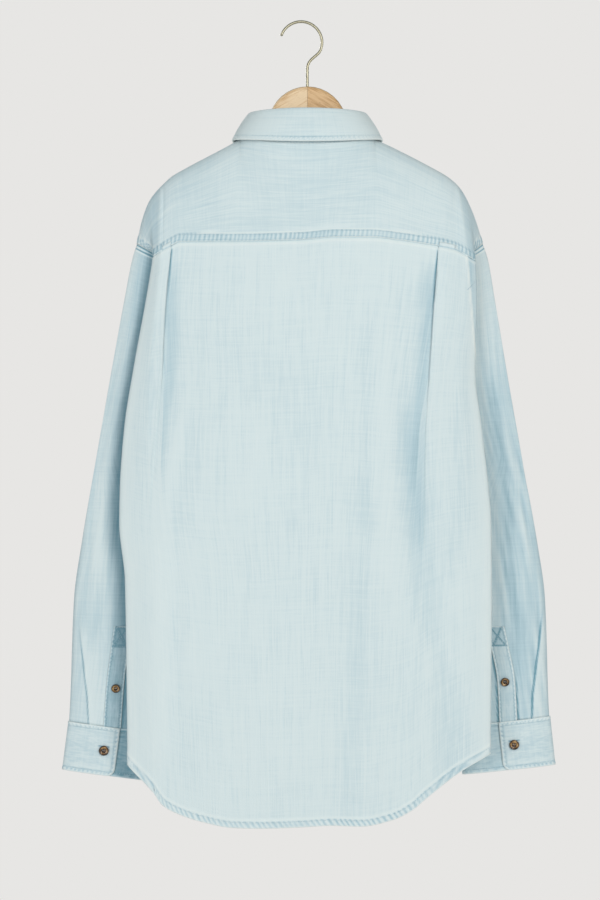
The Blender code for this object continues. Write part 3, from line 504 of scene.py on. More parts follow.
def linear(code):
    """An sRGB hex colour as linear red, green, blue and a full alpha."""
    channels = np.array([int(code[i : i + 2], 16) for i in (1, 3, 5)]) / 255
    low = channels <= 0.04045
    return (*np.where(low, channels / 12.92, ((channels + 0.055) / 1.055) ** 2.4), 1.0)


def feed(tree, made, inputs):
    """Sets some of a node's inputs by name or number, each to a value or to another node's output."""
    for name, value in inputs.items():
        socket = made.inputs[int(name[1:]) if name[1:].isdigit() else name.replace("_", " ")]
        if isinstance(value, bpy.types.NodeSocket):
            tree.links.new(value, socket)
        else:
            socket.default_value = value


def node(tree, kind, settings=None, gives=0, **inputs):
    """One output of a new node with settings and inputs, each a value or another node's output."""
    made = tree.nodes.new("ShaderNode" + kind)
    for name, value in (settings or {}).items():
        if name != "stops":
            setattr(made, name, value)
            continue
        elements = made.color_ramp.elements
        while len(elements) < len(value):
            elements.new(0.5)
        for element, (position, code) in zip(elements, value):
            element.position, element.color = position, linear(code)
    feed(tree, made, inputs)
    return made.outputs[gives]


def new_material(name):
    """A material's tree, the place that its patterns read, and what ends it with its shader's inputs."""
    made = bpy.data.materials.new(name)
    made.use_nodes = True
    tree = made.node_tree

    def ended(**inputs):
        feed(tree, tree.nodes["Principled BSDF"], inputs)
        return made

    return tree, node(tree, "TexCoord", gives="Object"), ended


def denim_material(name, mottle):
    """Plain-woven cotton denim, stone washed almost white: slubs run along the warp, and the high places of
    seams have lost their indigo. The Fade attribute it reads is partly that wear and partly painted light and
    shade: the crowns of folds and wrinkles are painted paler and their hollows darker, and painted shade and
    shadow lie beside the body, under laps and along the pleats. Small stiff pieces have washed in more
    mottled, by the amount given.
    Dull, with the soft bloom of worn cotton."""
    tree, place_in, ended = new_material(name)
    weave = node(tree, "UVMap", {"uv_map": "Weave"})
    # warp slubs 1 to 2 mm wide and 30 to 60 mm long, streaks four times as broad, weft slubs, wear, mottle
    patterns = (
        (weave, 620, 3, 0.24, (1, 0.035, 1)),
        (weave, 140, 2, 0.08, (1, 0.05, 1)),
        (weave, 560, 2, 0.12, (0.05, 1, 1)),
        (place_in, 9, 3, 0.16, (1, 1, 0.6)),
        (weave, 300, 3, mottle, (1, 0.3, 1)),
    )
    total, streaks = node(tree, "Attribute", {"attribute_name": "Fade"}, "Fac"), []
    for source, scale, detail, strength, stretch in patterns:
        mapped = node(tree, "Mapping", Vector=source, Scale=stretch, Location=(0.3, 0.7, 0.0008))
        streaks.append(node(tree, "TexNoise", Vector=mapped, Scale=scale, Detail=detail, Distortion=0.5))
        centred = node(tree, "Math", {"operation": "SUBTRACT"}, _0=streaks[-1], _1=0.5)
        total = node(tree, "Math", {"operation": "MULTIPLY_ADD"}, _0=centred, _1=strength, _2=total)
    stops = ((0, "#7BA3B2"), (0.3, "#BDD3DB"), (0.5, "#DBE7E9"), (1, "#F0F5F2"))
    colour = node(tree, "ValToRGB", {"stops": stops}, Fac=total)
    # the real threads are 0.4 mm apart; they are drawn twice as coarse, or nothing of them would show
    one, other = (
        node(tree, "TexWave", {"bands_direction": way}, "Fac", Vector=weave, Scale=400, Distortion=1.5)
        for way in "XY"
    )
    woven = node(tree, "Math", {"operation": "MULTIPLY"}, _0=one, _1=other)
    height = node(tree, "Math", {"operation": "MULTIPLY_ADD"}, _0=streaks[0], _1=1.2, _2=woven)
    bump = node(tree, "Bump", Strength=0.35, Distance=0.0004, Height=height)
    bloom = {"Specular_IOR_Level": 0.25, "Sheen_Weight": 0.25, "Sheen_Roughness": 0.5}
    return ended(Base_Color=colour, Normal=bump, Roughness=0.92, **bloom)


def thread_material(name):
    """Cotton-wrapped polyester topstitching thread: a dull twist of the cloth's own washed blue."""
    tree, place_in, ended = new_material(name)
    worn = node(tree, "TexNoise", Vector=place_in, Scale=300, Detail=1)
    colour = node(tree, "ValToRGB", {"stops": ((0.3, "#A2BECA"), (0.8, "#EEF3F2"))}, Fac=worn)
    return ended(Base_Color=colour, Roughness=0.75)


def button_material(name):
    """Polished polyester resin, swirled brown and horn yellow like tortoiseshell: glossy, dark at the rim."""
    tree, place_in, ended = new_material(name)
    middle = node(tree, "Attribute", {"attribute_name": "Fade"}, "Fac")
    swirl = node(tree, "TexNoise", Vector=place_in, Scale=230, Detail=3)
    mixed = node(tree, "Math", {"operation": "MULTIPLY_ADD"}, _0=middle, _1=0.5, _2=swirl)
    stops = ((0.3, "#1E140C"), (0.5, "#54391F"), (0.68, "#9A7240"), (0.85, "#D2B078"))
    colour = node(tree, "ValToRGB", {"stops": stops}, Fac=mixed)
    return ended(Base_Color=colour, Roughness=0.22, Coat_Weight=0.4)


def wood_material(name, pale, dark, fleck, tilt):
    """Beech under a thin satin lacquer: narrow growth lines that run at a slant, with short dark flecks."""
    tree, place_in, ended = new_material(name)
    tilted = node(tree, "Mapping", Vector=place_in, Rotation=(0, tilt, 0))
    grains = (
        (900, (0.05, 0.4, 1), (0, 0, 0)),
        (260, (0.08, 0.4, 1), (0.3, 0.1, 0.2)),
        (900, (0.22, 0.5, 1), (0.7, 0, 0.4)),
    )
    noises = []
    for scale, stretch, offset in grains:
        mapped = node(tree, "Mapping", Vector=tilted, Scale=stretch, Location=offset)
        noises.append(node(tree, "TexNoise", Vector=mapped, Scale=scale))
    lines, rings, flecks = noises
    part = node(tree, "Math", {"operation": "MULTIPLY"}, _0=lines, _1=0.7)
    total = node(tree, "Math", {"operation": "MULTIPLY_ADD"}, _0=rings, _1=0.35, _2=part)
    colour = node(tree, "ValToRGB", {"stops": ((0.4, dark), (0.56, pale))}, Fac=total)
    speck = node(tree, "MapRange", Value=flecks, From_Min=0.62, From_Max=0.85)
    mixed = node(tree, "Mix", {"data_type": "RGBA"}, 2, _0=speck, _6=colour, _7=linear(fleck))
    bump = node(tree, "Bump", Strength=0.2, Distance=0.0003, Height=total)
    return ended(Base_Color=mixed, Normal=bump, Roughness=0.45, Coat_Weight=0.25, Coat_Roughness=0.3)


def nickel_material(name):
    """Bent steel wire, nickel plated: bright and a little warm, with faint drawing marks."""
    tree, place_in, ended = new_material(name)
    drawn = node(tree, "Mapping", Vector=place_in, Scale=(1, 1, 0.2))
    marks = node(tree, "TexNoise", Vector=drawn, Scale=500)
    rough = node(tree, "MapRange", Value=marks, From_Min=0.3, From_Max=0.7, To_Min=0.38, To_Max=0.48)
    colour = node(tree, "ValToRGB", {"stops": ((0.3, "#ADA58C"), (0.7, "#C4BDA6"))}, Fac=marks)
    return ended(Base_Color=colour, Roughness=rough, Metallic=1)


# ---------------------------------------------------------------- making meshes


def slopes(points):
    """The unit normals of a grid: its slope down the rows crossed with its slope along the columns."""
    return unit(np.cross(np.gradient(points, axis=0), np.gradient(points, axis=1)))


def raised(points, height):
    """A grid moved along its normals by a height in millimetres."""
    return points + slopes(points) * np.asarray(height)[..., None] * MM


def run_along(points, axis):
    """The distance run along a grid's rows (1) or down its columns (0), in millimetres."""
    steps = np.linalg.norm(np.diff(points, axis=axis), axis=-1) / MM
    start = np.zeros_like(np.take(steps, [0], axis=axis))
    return np.cumsum(np.concatenate([start, steps], axis=axis), axis=axis)


def weave_map(points, turned_round):
    """Metres along the weft and the warp at each point of a grid: the mean distance run along and down it."""
    u, v = np.meshgrid(run_along(points, 1).mean(axis=0) * MM, run_along(points, 0).mean(axis=1) * MM)
    return np.stack([v, u] if turned_round else [u, v], axis=-1).reshape(-1, 2)


def linked(name, data):
    """A new object in the scene for some data."""
    made = bpy.data.objects.new(name, data)
    bpy.context.scene.collection.objects.link(made)
    return made


def mesh_object(name, points, faces, finish, fade=None, weave=None, smooth=True):
    mesh = bpy.data.meshes.new(name)
    mesh.from_pydata(points.reshape(-1, 3), [], faces)
    if fade is not None:
        attribute = mesh.attributes.new("Fade", "FLOAT", "POINT")
        attribute.data.foreach_set("value", np.asarray(fade, np.float32).ravel())
    if weave is not None:
        layer = mesh.uv_layers.new(name="Weave")
        corner = np.empty(len(mesh.loops), np.int32)
        mesh.loops.foreach_get("vertex_index", corner)
        layer.data.foreach_set("uv", np.asarray(weave, np.float32)[corner].ravel())
    mesh.polygons.foreach_set("use_smooth", np.full(len(mesh.polygons), smooth))
    mesh.materials.append(finish)
    made = linked(name, mesh)
    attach(made, "root")
    return made


def grid_faces(points, first=0):
    """The corners of every cell of a grid, as a list."""
    rows, columns = points.shape[:2]
    corner = first + np.arange(rows * columns).reshape(rows, columns)
    cells = [corner[:-1, :-1], corner[1:, :-1], corner[1:, 1:], corner[:-1, 1:]]
    return np.stack(cells, axis=-1).reshape(-1, 4).tolist()


def joined(made):
    """Merges the points that lie on each other and turns all faces one way."""
    shape = bmesh.new()
    shape.from_mesh(made.data)
    bmesh.ops.remove_doubles(shape, verts=shape.verts, dist=0.002 * MM)
    bmesh.ops.recalc_face_normals(shape, faces=shape.faces)
    shape.to_mesh(made.data)
    shape.free()
    return made


def cloth(kind, grids, finish, side=None, wall=CLOTH, turned_round=False):
    """A piece of cloth from one or more (points, fade) grids, joined where they meet, with a wall."""
    first, faces, fades, weaves = 0, [], [], []
    for grid, fade in grids:
        faces += grid_faces(grid, first)
        fades.append(np.broadcast_to(fade, grid.shape[:2]).ravel())
        weaves.append(weave_map(grid, turned_round) + 0.37 * first * MM)
        first += len(fades[-1])
    points = np.concatenate([grid.reshape(-1, 3) for grid, _ in grids])
    fade, weave = np.concatenate(fades), np.concatenate(weaves)
    stands_for, width, length, area = SHEETS[kind]
    end = "_" + hand(side) if side else ""
    made = mesh_object(kind + "_cloth" + end, points, faces, finish, fade, weave)
    solid = joined(made).modifiers.new("Wall", "SOLIDIFY")
    solid.thickness, solid.offset = wall * MM, 0
    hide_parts(stands_for + end)


def refine(rows, count):
    """A grid's rows, or any list of points, drawn out to more by Catmull-Rom curves through them."""
    rows = np.asarray(rows, float)
    padded = np.concatenate([2 * rows[:1] - rows[1:2], rows, 2 * rows[-1:] - rows[-2:-1]])
    at = np.linspace(0, len(rows) - 1, count)
    k = np.minimum(at.astype(int), len(rows) - 2)
    t = (at - k).reshape((-1,) + (1,) * (rows.ndim - 1))
    a, b, c, d = (padded[k + i] for i in range(4))
    return 0.5 * (2 * b + (c - a) * t + (2 * a - 5 * b + 4 * c - d) * t**2 + (3 * b - a - 3 * c + d) * t**3)


def read_grid(values, rows, columns):
    """A grid's values between its points, at fractions of rows and columns."""
    rows, columns = np.broadcast_arrays(np.asarray(rows, float), np.asarray(columns, float))
    rows = np.clip(rows, 0, values.shape[0] - 1.001)
    columns = np.clip(columns, 0, values.shape[1] - 1.001)
    r, c = rows.astype(int), columns.astype(int)
    s, t = (rows - r)[..., None], (columns - c)[..., None]
    top = between(values[r, c], values[r, c + 1], t)
    return between(top, between(values[r + 1, c], values[r + 1, c + 1], t), s)


SEWN = []


def sew(points, facing, rows, columns, wall=CLOTH):
    """Notes a row of stitches along a path over a grid, on the face its normals point to (1) or the other."""
    path = read_grid(points, rows, columns)
    normal = read_grid(slopes(points), rows, columns) * facing
    SEWN.append((path + normal * (wall / 2 + 0.12) * MM, normal))


def sew_between(points, facing, low, high, wall=CLOTH):
    """Notes a straight row of stitches between two places, each a row and a column."""
    sew(points, facing, np.linspace(low[0], high[0], 12), np.linspace(low[1], high[1], 12), wall)


def row_at(distance, wanted):
    """The fraction of a row where each column of a growing distance reaches a wanted one."""
    below = (distance < wanted).sum(axis=0).clip(1, len(distance) - 1)
    column = np.arange(distance.shape[1])
    low, high = distance[below - 1, column], distance[below, column]
    return below - 1 + (wanted - low) / np.maximum(high - low, 1e-9)


def sew_at(points, facing, distance, wanted, wall=CLOTH, kept=slice(None)):
    """Notes a row of stitches across a grid, where a distance that grows down it reaches a wanted one."""
    columns = np.arange(points.shape[1])
    sew(points, facing, row_at(distance, wanted)[kept], columns[kept], wall)


def stitches(name, finish):
    """Every noted row as short threads: four-sided beads, longest along their row and sunk at both ends."""
    along = np.repeat((-0.5, -0.28, 0.28, 0.5), (1, 4, 4, 1)) * STITCH_LENGTH
    over = np.array((0, *(0, 1, 0, -1) * 2, 0)) * THREAD / 2
    rise = np.array((-0.3, *(1, 0.2, -0.6, 0.2) * 2, -0.3)) * THREAD / 2
    i = np.arange(4)
    j = (i + 1) % 4
    sides = np.stack([i + 1, j + 1, j + 5, i + 5], axis=-1)
    ends = [np.stack(corners, axis=-1) for corners in ((0 * i, j + 1, i + 1), (9 + 0 * i, i + 5, j + 5))]

    def at_each(places, run, path):
        return np.stack([np.interp(places, run, path[:, axis]) for axis in range(3)], axis=-1)

    beads = []
    for path, normal in SEWN:
        run = run_along(path, 0)
        at = np.arange(STITCH_PITCH / 2, run[-1], STITCH_PITCH)
        ahead = unit(at_each(at + 0.5, run, path) - at_each(at - 0.5, run, path))
        side = unit(np.cross(at_each(at, run, normal), ahead))
        ways = ((along, ahead), (over, side), (rise, np.cross(ahead, side)))
        shape = sum(size[None, :, None] * way[:, None, :] for size, way in ways)
        beads.append(at_each(at, run, path)[:, None, :] + shape * MM)
    beads = np.concatenate(beads)
    first = 10 * np.arange(len(beads))[:, None, None]
    faces = (first + sides).reshape(-1, 4).tolist() + (first + np.concatenate(ends)).reshape(-1, 3).tolist()
    mesh_object(name, beads, faces, finish)


def wander(run, scale=1):
    """An uneven swing between -1 and 1 along a seam, which never repeats within it."""
    run = run / scale
    return (np.sin(run * 0.41) + np.sin(run * 0.173 + 1.3) + np.sin(run * 0.097 + 0.4)) / 3


def ticks(run, pitch):
    """Small puckers across a seam between -1 and 1, a pitch apart with an uneven step and strength."""
    return np.sin(2 * np.pi * run / pitch + 2.2 * wander(run, 2)) * (0.65 + 0.35 * wander(run, 5))


def band(distance, width, soft=1.2):
    """1 within a width of a seam, falling to 0 beyond it."""
    return fall((distance - width) / soft + 0.5)


def line(distance, at, width):
    """A soft line at a distance from a seam."""
    return np.exp(-(((distance - at) / width) ** 2))


# ---------------------------------------------------------------- cloth


def spaced(*runs):
    """Stations from (start, end, count) runs, each up to the next one's start, and the last end."""
    parts = [np.linspace(start, end, count, endpoint=False) for start, end, count in runs]
    return np.concatenate(parts + [[runs[-1][1]]])


def both(left, right):
    """One grid right across the shirt, from its left to its right, out of the grids of its two sides."""
    return np.concatenate([left[:, ::-1], right[:, 1:]], axis=1)


def nearest(*distances):
    """The distance to the nearest of some edges."""
    return np.min(np.broadcast_arrays(*distances), axis=0)


def spot(across, down, wanted, beside):
    """The row and column, with fractions, of the place on a grid that is wanted, moved a little beside."""
    wanted_across, wanted_down = wanted[0] + beside, wanted[1] + beside
    apart = np.hypot(across - wanted_across, down - wanted_down)
    row, column = np.unravel_index(np.argmin(apart), apart.shape)
    over = (wanted_across - across[row, column]) / (across[row, column + 1] - across[row, column])
    below = (wanted_down - down[row, column]) / (down[row + 1, column] - down[row, column])
    return row + below, column + over


def soft_folds(across, down, folds):
    """The sum of long low folds: each is a bell across its line, that swells and dies at the line's ends."""
    total = 0
    for width, height, *line_points in folds:
        at, where = np.array(line_points).T
        grown = ease((down - at[0] + 30) / 70) * fall((down - at[-1]) / 60)
        total = total + height * grown * line(across, curve(down, at, where), width)
    return total


def stitched(distance, run, at):
    """Height and fade of a row of stitches: a groove, bluer in dashes where the stitches pull it down."""
    groove = -0.25 * line(distance, at, 0.8)
    return groove, groove * (0.6 + 0.4 * ticks(run, PUCKER))


def felled(distance, run):
    """Height and fade of a felled seam, from its edge: a raised band, puckered between its two rows."""
    inside = band(np.abs(distance - FELL / 2), FELL / 2)
    puckers = ticks(run, PUCKER) * inside
    height, fade = 0.6 * inside + 0.2 * puckers, 0.22 * puckers - 0.1 * inside
    for at in SEAM_ROWS:
        row_height, row_fade = stitched(distance, run, at)
        height, fade = height + 0.7 * row_height, fade + 0.6 * row_fade
    return height, fade + 0.3 * line(distance, FELL + 0.6, 0.8) + 0.3 * line(distance, 0, 0.8)


def hemmed(distance, run):
    """Height and fade of a turned-up hem: a raised band that ropes at a slant, and a ridge at its edge."""
    inside = band(distance, HEM_BAND)
    rope = ticks(run + 0.75 * distance, ROPING) * inside
    height, fade = stitched(distance, run, HEM_ROW)
    height = height + 0.5 * inside + 0.3 * rope + 0.35 * line(distance, HEM_BAND + 1.5, 1.3)
    fade = 0.4 * fade - 0.08 * inside + 0.2 * rope + 0.2 * line(distance, HEM_BAND + 1.5, 1.2)
    return height, fade + 0.5 * line(distance, 0, 0.8)


def edged(distance, run, at):
    """Height and fade of a pressed edge with one row of stitches: it rolls, puckers and wears pale."""
    puckers = ticks(run, PUCKER) * line(distance, at / 2, at / 2.5)
    height, fade = stitched(distance, run, at)
    height = height + 0.35 * line(distance, at / 2.5, at / 2.5) + 0.14 * puckers
    return height, fade + 0.22 * puckers + 0.35 * line(distance, 0, 1)


def creases(across, down, tucks):
    """Height and fade of pressed edges: each rises on one side of a thin line of painted shadow, and dies
    away beyond; a raised side is painted paler as painted light.
    """
    height = shade = 0
    for way, reach, high, blue, *line_points in tucks:
        at, where = np.array(line_points).T
        grown = ease((down - at[0]) / 40) * fall((down - at[-1] + 10) / 30)
        away = way * (across - curve(down, at, where))
        beyond = grown * ease(away / 1.6 + 0.5) * np.exp(-np.maximum(away, 0) / reach)
        height = height + high * beyond
        # painted shadow along each pressed edge's line, and painted light on its raised side
        shade = shade - blue * grown * line(away, 0, 0.9) + 0.12 * beyond * (high > 0)
    return height, shade


def crumpled(across, down):
    """Small wrinkles down a sleeve: slanted waves of three widths, each coming and going along its run."""
    total = 0
    for width, length, slant, start in ((8, 110, 0.12, 0), (13, 170, 0.2, 2), (21, 240, 0.28, 4)):
        swing = 1.6 * np.sin(down / length * 2 + start) + 0.8 * np.sin(down / length * 5 + 3 * start)
        wave = np.sin(2 * np.pi * (across - slant * down) / width + swing)
        total = total + wave * (0.55 + 0.45 * np.sin(down / length * 3.1 + across / width + start))
    return total / 3


def evened(values, reach):
    """Each row's values, averaged over a reach of columns to both sides of each."""
    weights = np.hanning(2 * reach + 3)[1:-1]
    before = 2 * values[:, :1] - values[:, reach:0:-1]
    after = 2 * values[:, -1:] - values[:, -2 : -reach - 2 : -1]
    padded = np.concatenate([before, values, after], axis=1)
    windows = np.lib.stride_tricks.sliding_window_view(padded, 2 * reach + 1, axis=1)
    return windows @ (weights / weights.sum())


def right_across(steps):
    """The steps from one side of the shirt to the other."""
    return np.concatenate([steps[::-1], steps[1:]])


def levelled(seam, level, steps):
    """A seam or a hem brought to one level where it turns in behind the side fold."""
    return between(seam, level, ease((steps - 3.2) / 0.8))


def add_back(finish):
    """A grid from the yoke's seam to the hem, through the pleats and round both side folds."""
    steps = spaced((0, 1, 84), (1, 2, 22), (2, 3, 9), (3, 4, 22))
    rows = spaced((-5, 0, 3), (0, 16, 9), (16, 640, 108), (640, 658, 12))[:, None] / 658
    halves, from_seam, from_hem = [], [], []
    for side in (LEFT, RIGHT):
        top = yoke_seam_down(side, steps, True)
        at_hem = back_section(side, steps, HEM_LEVEL, True)[0]
        hem = levelled(read(HEM, side * at_hem, "down", "across"), SEAM_SIDE_HEM, steps)
        over, drop = np.gradient(at_hem), np.gradient(hem)
        down = between(top, hem, rows)
        across, out = back_section(side, steps, down, True)
        halves.append(np.stack([side * across, down, out], axis=-1))
        from_seam.append(down - top)
        from_hem.append((hem - down) * np.clip(np.abs(over) / np.hypot(over, drop), 0.7, 1))
    across, down, out = np.moveaxis(both(*halves), -1, 0)
    from_seam, from_hem = both(*from_seam), both(*from_hem)
    strip = right_across(steps)
    points = place(1, across, down, out)
    run = run_along(points, 1)
    folds = soft_folds(across, down, BACK_FOLDS) + creases(across, down, BACK_CREASES)[0]
    height, fade = hemmed(from_hem, run)
    height = height + folds + (0.5 + 0.2 * ticks(run, PUCKER)) * line(from_seam, 4, 2.6)
    height = height - 1.3 * ease((2 - from_seam) / 4)
    # painted light and shade: the crowns of folds paler and their hollows darker, and a painted shadow line
    # under the yoke's edge
    fade = fade + 0.5 + 0.06 * folds + 0.2 * line(from_seam, 3, 1.6) - 0.3 * line(from_seam, 0.4, 0.8)
    # the pleats: a painted shadow line in each, and painted shade in the valley beside it
    edges = between(pleat_edge(RIGHT, down), pleat_edge(LEFT, down), across > 0)
    beside = line(np.abs(across), edges - 0.8, 1.1) * (strip < 1.2) * fall((from_seam - 20) / 90)
    valley = line(np.abs(across), edges - 8, 8) * (strip < 1.2) * ease(from_seam / 60)
    valley = valley * fall((down - 470) / 120)
    # a painted highlight along the side fold's edge
    fade = fade + 0.14 * line(strip, 3.22, 0.07) - 0.6 * beside * ease(from_seam / 6) - 0.13 * valley
    # the right armhole's seam, where it shows beside the fold
    at, where = np.array(BACK_ARMHOLE).T
    outside = curve(down, at, where) - across
    shown = ease((down - at[0]) / 5) * fall((down - at[-1]) / 5) * (across < 0) * (strip < UNDER_FOLD)
    height = height + shown * (0.5 * line(outside, 1.2, 0.9) - 0.3 * ease(outside / 3))
    fade = fade + shown * (0.4 * line(outside, 1.2, 0.9) - 0.22 * ease((outside - 1.5) / 2))
    points = raised(points, height)
    seen = down + 999 * (strip > UNDER_FOLD)
    for away in BAR_ROWS:
        sew_between(points, 1, *(spot(across, seen, end, away) for end in BAR_TACK))
    sew_at(points, 1, -from_hem, -HEM_ROW)
    cloth("back", [(points, fade)], finish)


def head_seam(side, turn):
    """The yoke's seam with the sleeve, from the back armhole (0) over the outside (0.5) to the front (1)."""
    down = between(ARMHOLE_CORNER, ARMHOLE_TOP, np.sin(np.pi * turn))
    across, out = sleeve_section(side, turn, down)
    return across, down, out


def yoke_top(side, over):
    """What the back of the yoke rises to: the neck while over is negative, in degrees, then the ridge."""
    on_neck = ring(90 + np.minimum(over, 0), NECK)
    on_ridge = (*ridge(side, np.maximum(over, 0)), -2 * ease((over - 0.6) / 0.4))
    return [np.where(over < 0, a, b) for a, b in zip(on_neck, on_ridge)]


def yoke_seam_down(side, steps, pleated):
    """How far down the seam of the yoke and the back is, at each step across the back."""
    down = ARMHOLE_TOP
    for _ in range(3):
        across = back_section(side, steps, down, pleated)[0]
        down = levelled(read(YOKE_SEAM, side * across, "down", "across"), ARMHOLE_CORNER, steps)
    return down


def yoke_columns(side, steps):
    """For each step across the yoke's back: where it starts on the seam, and what it rises to."""
    down = yoke_seam_down(side, steps, False) - between(SEAM_GAP, 2 * SEAM_GAP, ease(steps - 3))
    across, out = back_section(side, steps, down, False)
    over = curve(steps, np.array((RIDGE_STEP, 1, 2, 3, 4)), np.array((0, 0.5, 0.55, 0.6, 1)))
    over = np.where(steps < RIDGE_STEP, -90 * (1 - steps / RIDGE_STEP), over)
    return (across, down, out), over


def pulled(points, column, target, share):
    """Columns of a grid moved so that one lands on a target, and the others by their share of that."""
    return points + (target - points[..., column])[..., None] * share


def yoke_back(side, steps, rows):
    """The yoke's back: columns from the seam to the neck or the ridge, that round over as they rise."""
    start, over = yoke_columns(side, steps)
    top = yoke_top(side, over)
    t = rows[:, None]
    length = np.hypot(top[0] - start[0], top[1] - start[1])
    roundness = np.clip(1 + np.minimum(over, 0) / 90, 0, 1) ** 2
    share = between(1 - t, wrap(length * (1 - t)) / wrap(length), roundness)
    points = np.array([between(a, b, s) for a, b, s in zip(start, top, (t, t, 1 - share))])
    points = pulled(points, -1, np.array(head_seam(side, rows * 0.5)), ease((steps - UNDER_FOLD) / 0.6))
    return place(side, *points)


def yoke_front(side, steps, rows):
    """The yoke's front: columns from the neck or the ridge, that round over and fall to the front seam."""
    over = yoke_columns(side, steps)[1]
    start, end = yoke_top(side, over), front_seam(side, over)
    t = rows[:, None]
    length = np.hypot(end[0] - start[0], end[1] - start[1])
    end = [between(b, a, FRONT_GAP / length) for a, b in zip(start, end)]
    shares = (t, t, wrap(length * t) / wrap(length))
    points = np.array([between(a, b, share) for a, b, share in zip(start, end, shares)])
    points = pulled(points, 0, np.array(ring(between(90, YOKE_FRONT_END, rows), NECK)), fall(over / 0.15))
    points = pulled(points, -1, np.array(head_seam(side, 0.5 + 0.5 * rows)), ease((over - 0.75) / 0.25))
    return place(side, *points)


def seam_details(points, facing, edges):
    """A grid raised into the felled seams along some edges, its fade, and the way left to its last row.

    An edge is 0 for the last row, 1 for the first column, or 2 for the last column."""
    down, along = run_along(points, 0), run_along(points, 1)
    distances = (down[-1:] - down, along, along[:, -1:] - along)
    total, fade = np.zeros(down.shape), np.full(down.shape, 0.5)
    for edge in edges:
        height, change = felled(distances[edge], along if edge == 0 else down)
        total = np.maximum(total, height)
        fade = fade + change
    return raised(points, total * facing), fade, distances[0]


def add_yoke(finish):
    """A grid over the back from armhole to armhole, and one down each side of the front."""
    steps = spaced((0, 1, 112), (1, 2, 8), (2, 3, 14), (3, 4, 20))
    rows = 1 - (1 - spaced((0, 0.06, 10), (0.06, 1, 34))) ** 1.6
    back = both(*(yoke_back(side, steps, rows)[::-1] for side in (LEFT, RIGHT)))
    strip = right_across(steps)
    keep = np.maximum(ease((strip - 2.2) / 0.9), ease((rows[::-1, None] - 0.86) / 0.14))
    back[..., 1] = between(evened(back[..., 1], 34), back[..., 1], keep)
    points, fade, from_seam = seam_details(back, 1, (0, 1, 2))
    # painted shade where the yoke turns into the side fold
    fade = fade - 0.05 - YOKE_SHADE * ease((strip - 2.98) / 0.2) * fall((strip - UNDER_FOLD) / 0.6)
    grids = [(points, fade)]
    for at in SEAM_ROWS:
        sew_at(points, 1, -from_seam, -at)
    for side in (LEFT, RIGHT):
        front = yoke_front(side, steps[steps >= RIDGE_STEP], 1 - rows[::-1])
        grids.append(seam_details(front, side, (0, 2))[:2])
    cloth("yoke", grids, finish, turned_round=True)


def add_front(side, finish):
    """A grid from the neck and the front yoke seam down to the hem, with the button band along its edge."""
    turns = np.linspace(180 + math.degrees(math.asin(PLACKET_HALF / NECK[0])), YOKE_FRONT_END, 46)[:-1]
    over = np.linspace(0, 1, 64)
    edge = zip(ring(turns, NECK), front_seam(side, over))
    top_across, top_down, top_out = (np.concatenate(pair) for pair in edge)
    evenly = np.concatenate(
        [
            np.interp(-turns, (-193.1, -180, -166, -151, -136, -122), (0, 0.1, 0.2, 0.3, 0.4, 0.5)),
            np.interp(over, (0, 0.22, 0.42, 0.62, 0.8, 1), (0.5, 0.6, 0.7, 0.8, 0.9, 1)),
        ]
    )
    share_across = (top_across + PLACKET_HALF) / (top_across[-1] + PLACKET_HALF)
    share_across = between(share_across, evenly, 0.3)
    hem = between(FRONT_HEM_MIDDLE, SEAM_SIDE_HEM, np.clip(share_across, 0, 1) ** 5)
    share = spaced((0, 14, 6), (14, 634, 110), (634, 650, 10))[:, None] / 650
    down = between(top_down, hem, share)

    def body_across(down):
        return between(-PLACKET_HALF, front_side(side, down)[0], share_across)

    across = body_across(down) + (top_across - body_across(top_down)) * fall(share / 0.35)
    shift = top_out - front_out(top_across, side, top_down)
    out = front_out(across, side, down) + shift * fall((down - top_down) / 110)
    lap = fall((across - PLACKET_HALF) / PLACKET_HALF)
    out = out + lap * (-LAP_OVER if side == LEFT else LAP_UNDER)
    points = place(side, across, down, out)
    height, fade = hemmed(hem - down, run_along(points, 1))
    from_middle = np.abs(across)
    strip = band(from_middle, PLACKET_HALF - 0.5, 0.8)
    rows_near = line(from_middle, PLACKET_HALF - FRONT_ROW, 0.8)
    puckers = ticks(down, PUCKER) * line(from_middle, PLACKET_HALF - FRONT_ROW / 2, 2.5)
    height = height + 0.5 * strip - 0.2 * rows_near + 0.15 * puckers
    fade = 0.5 + fade + 0.1 * puckers - 0.08 * rows_near
    points = raised(points, height * side)
    sew_at(points, side, down - hem, -HEM_ROW)
    if side == LEFT:
        for wanted in (FRONT_ROW - PLACKET_HALF, PLACKET_HALF - FRONT_ROW):
            sew(points, side, np.arange(len(points)), row_at(across.T, wanted))
    cloth("front", [(points, fade)], finish, side)


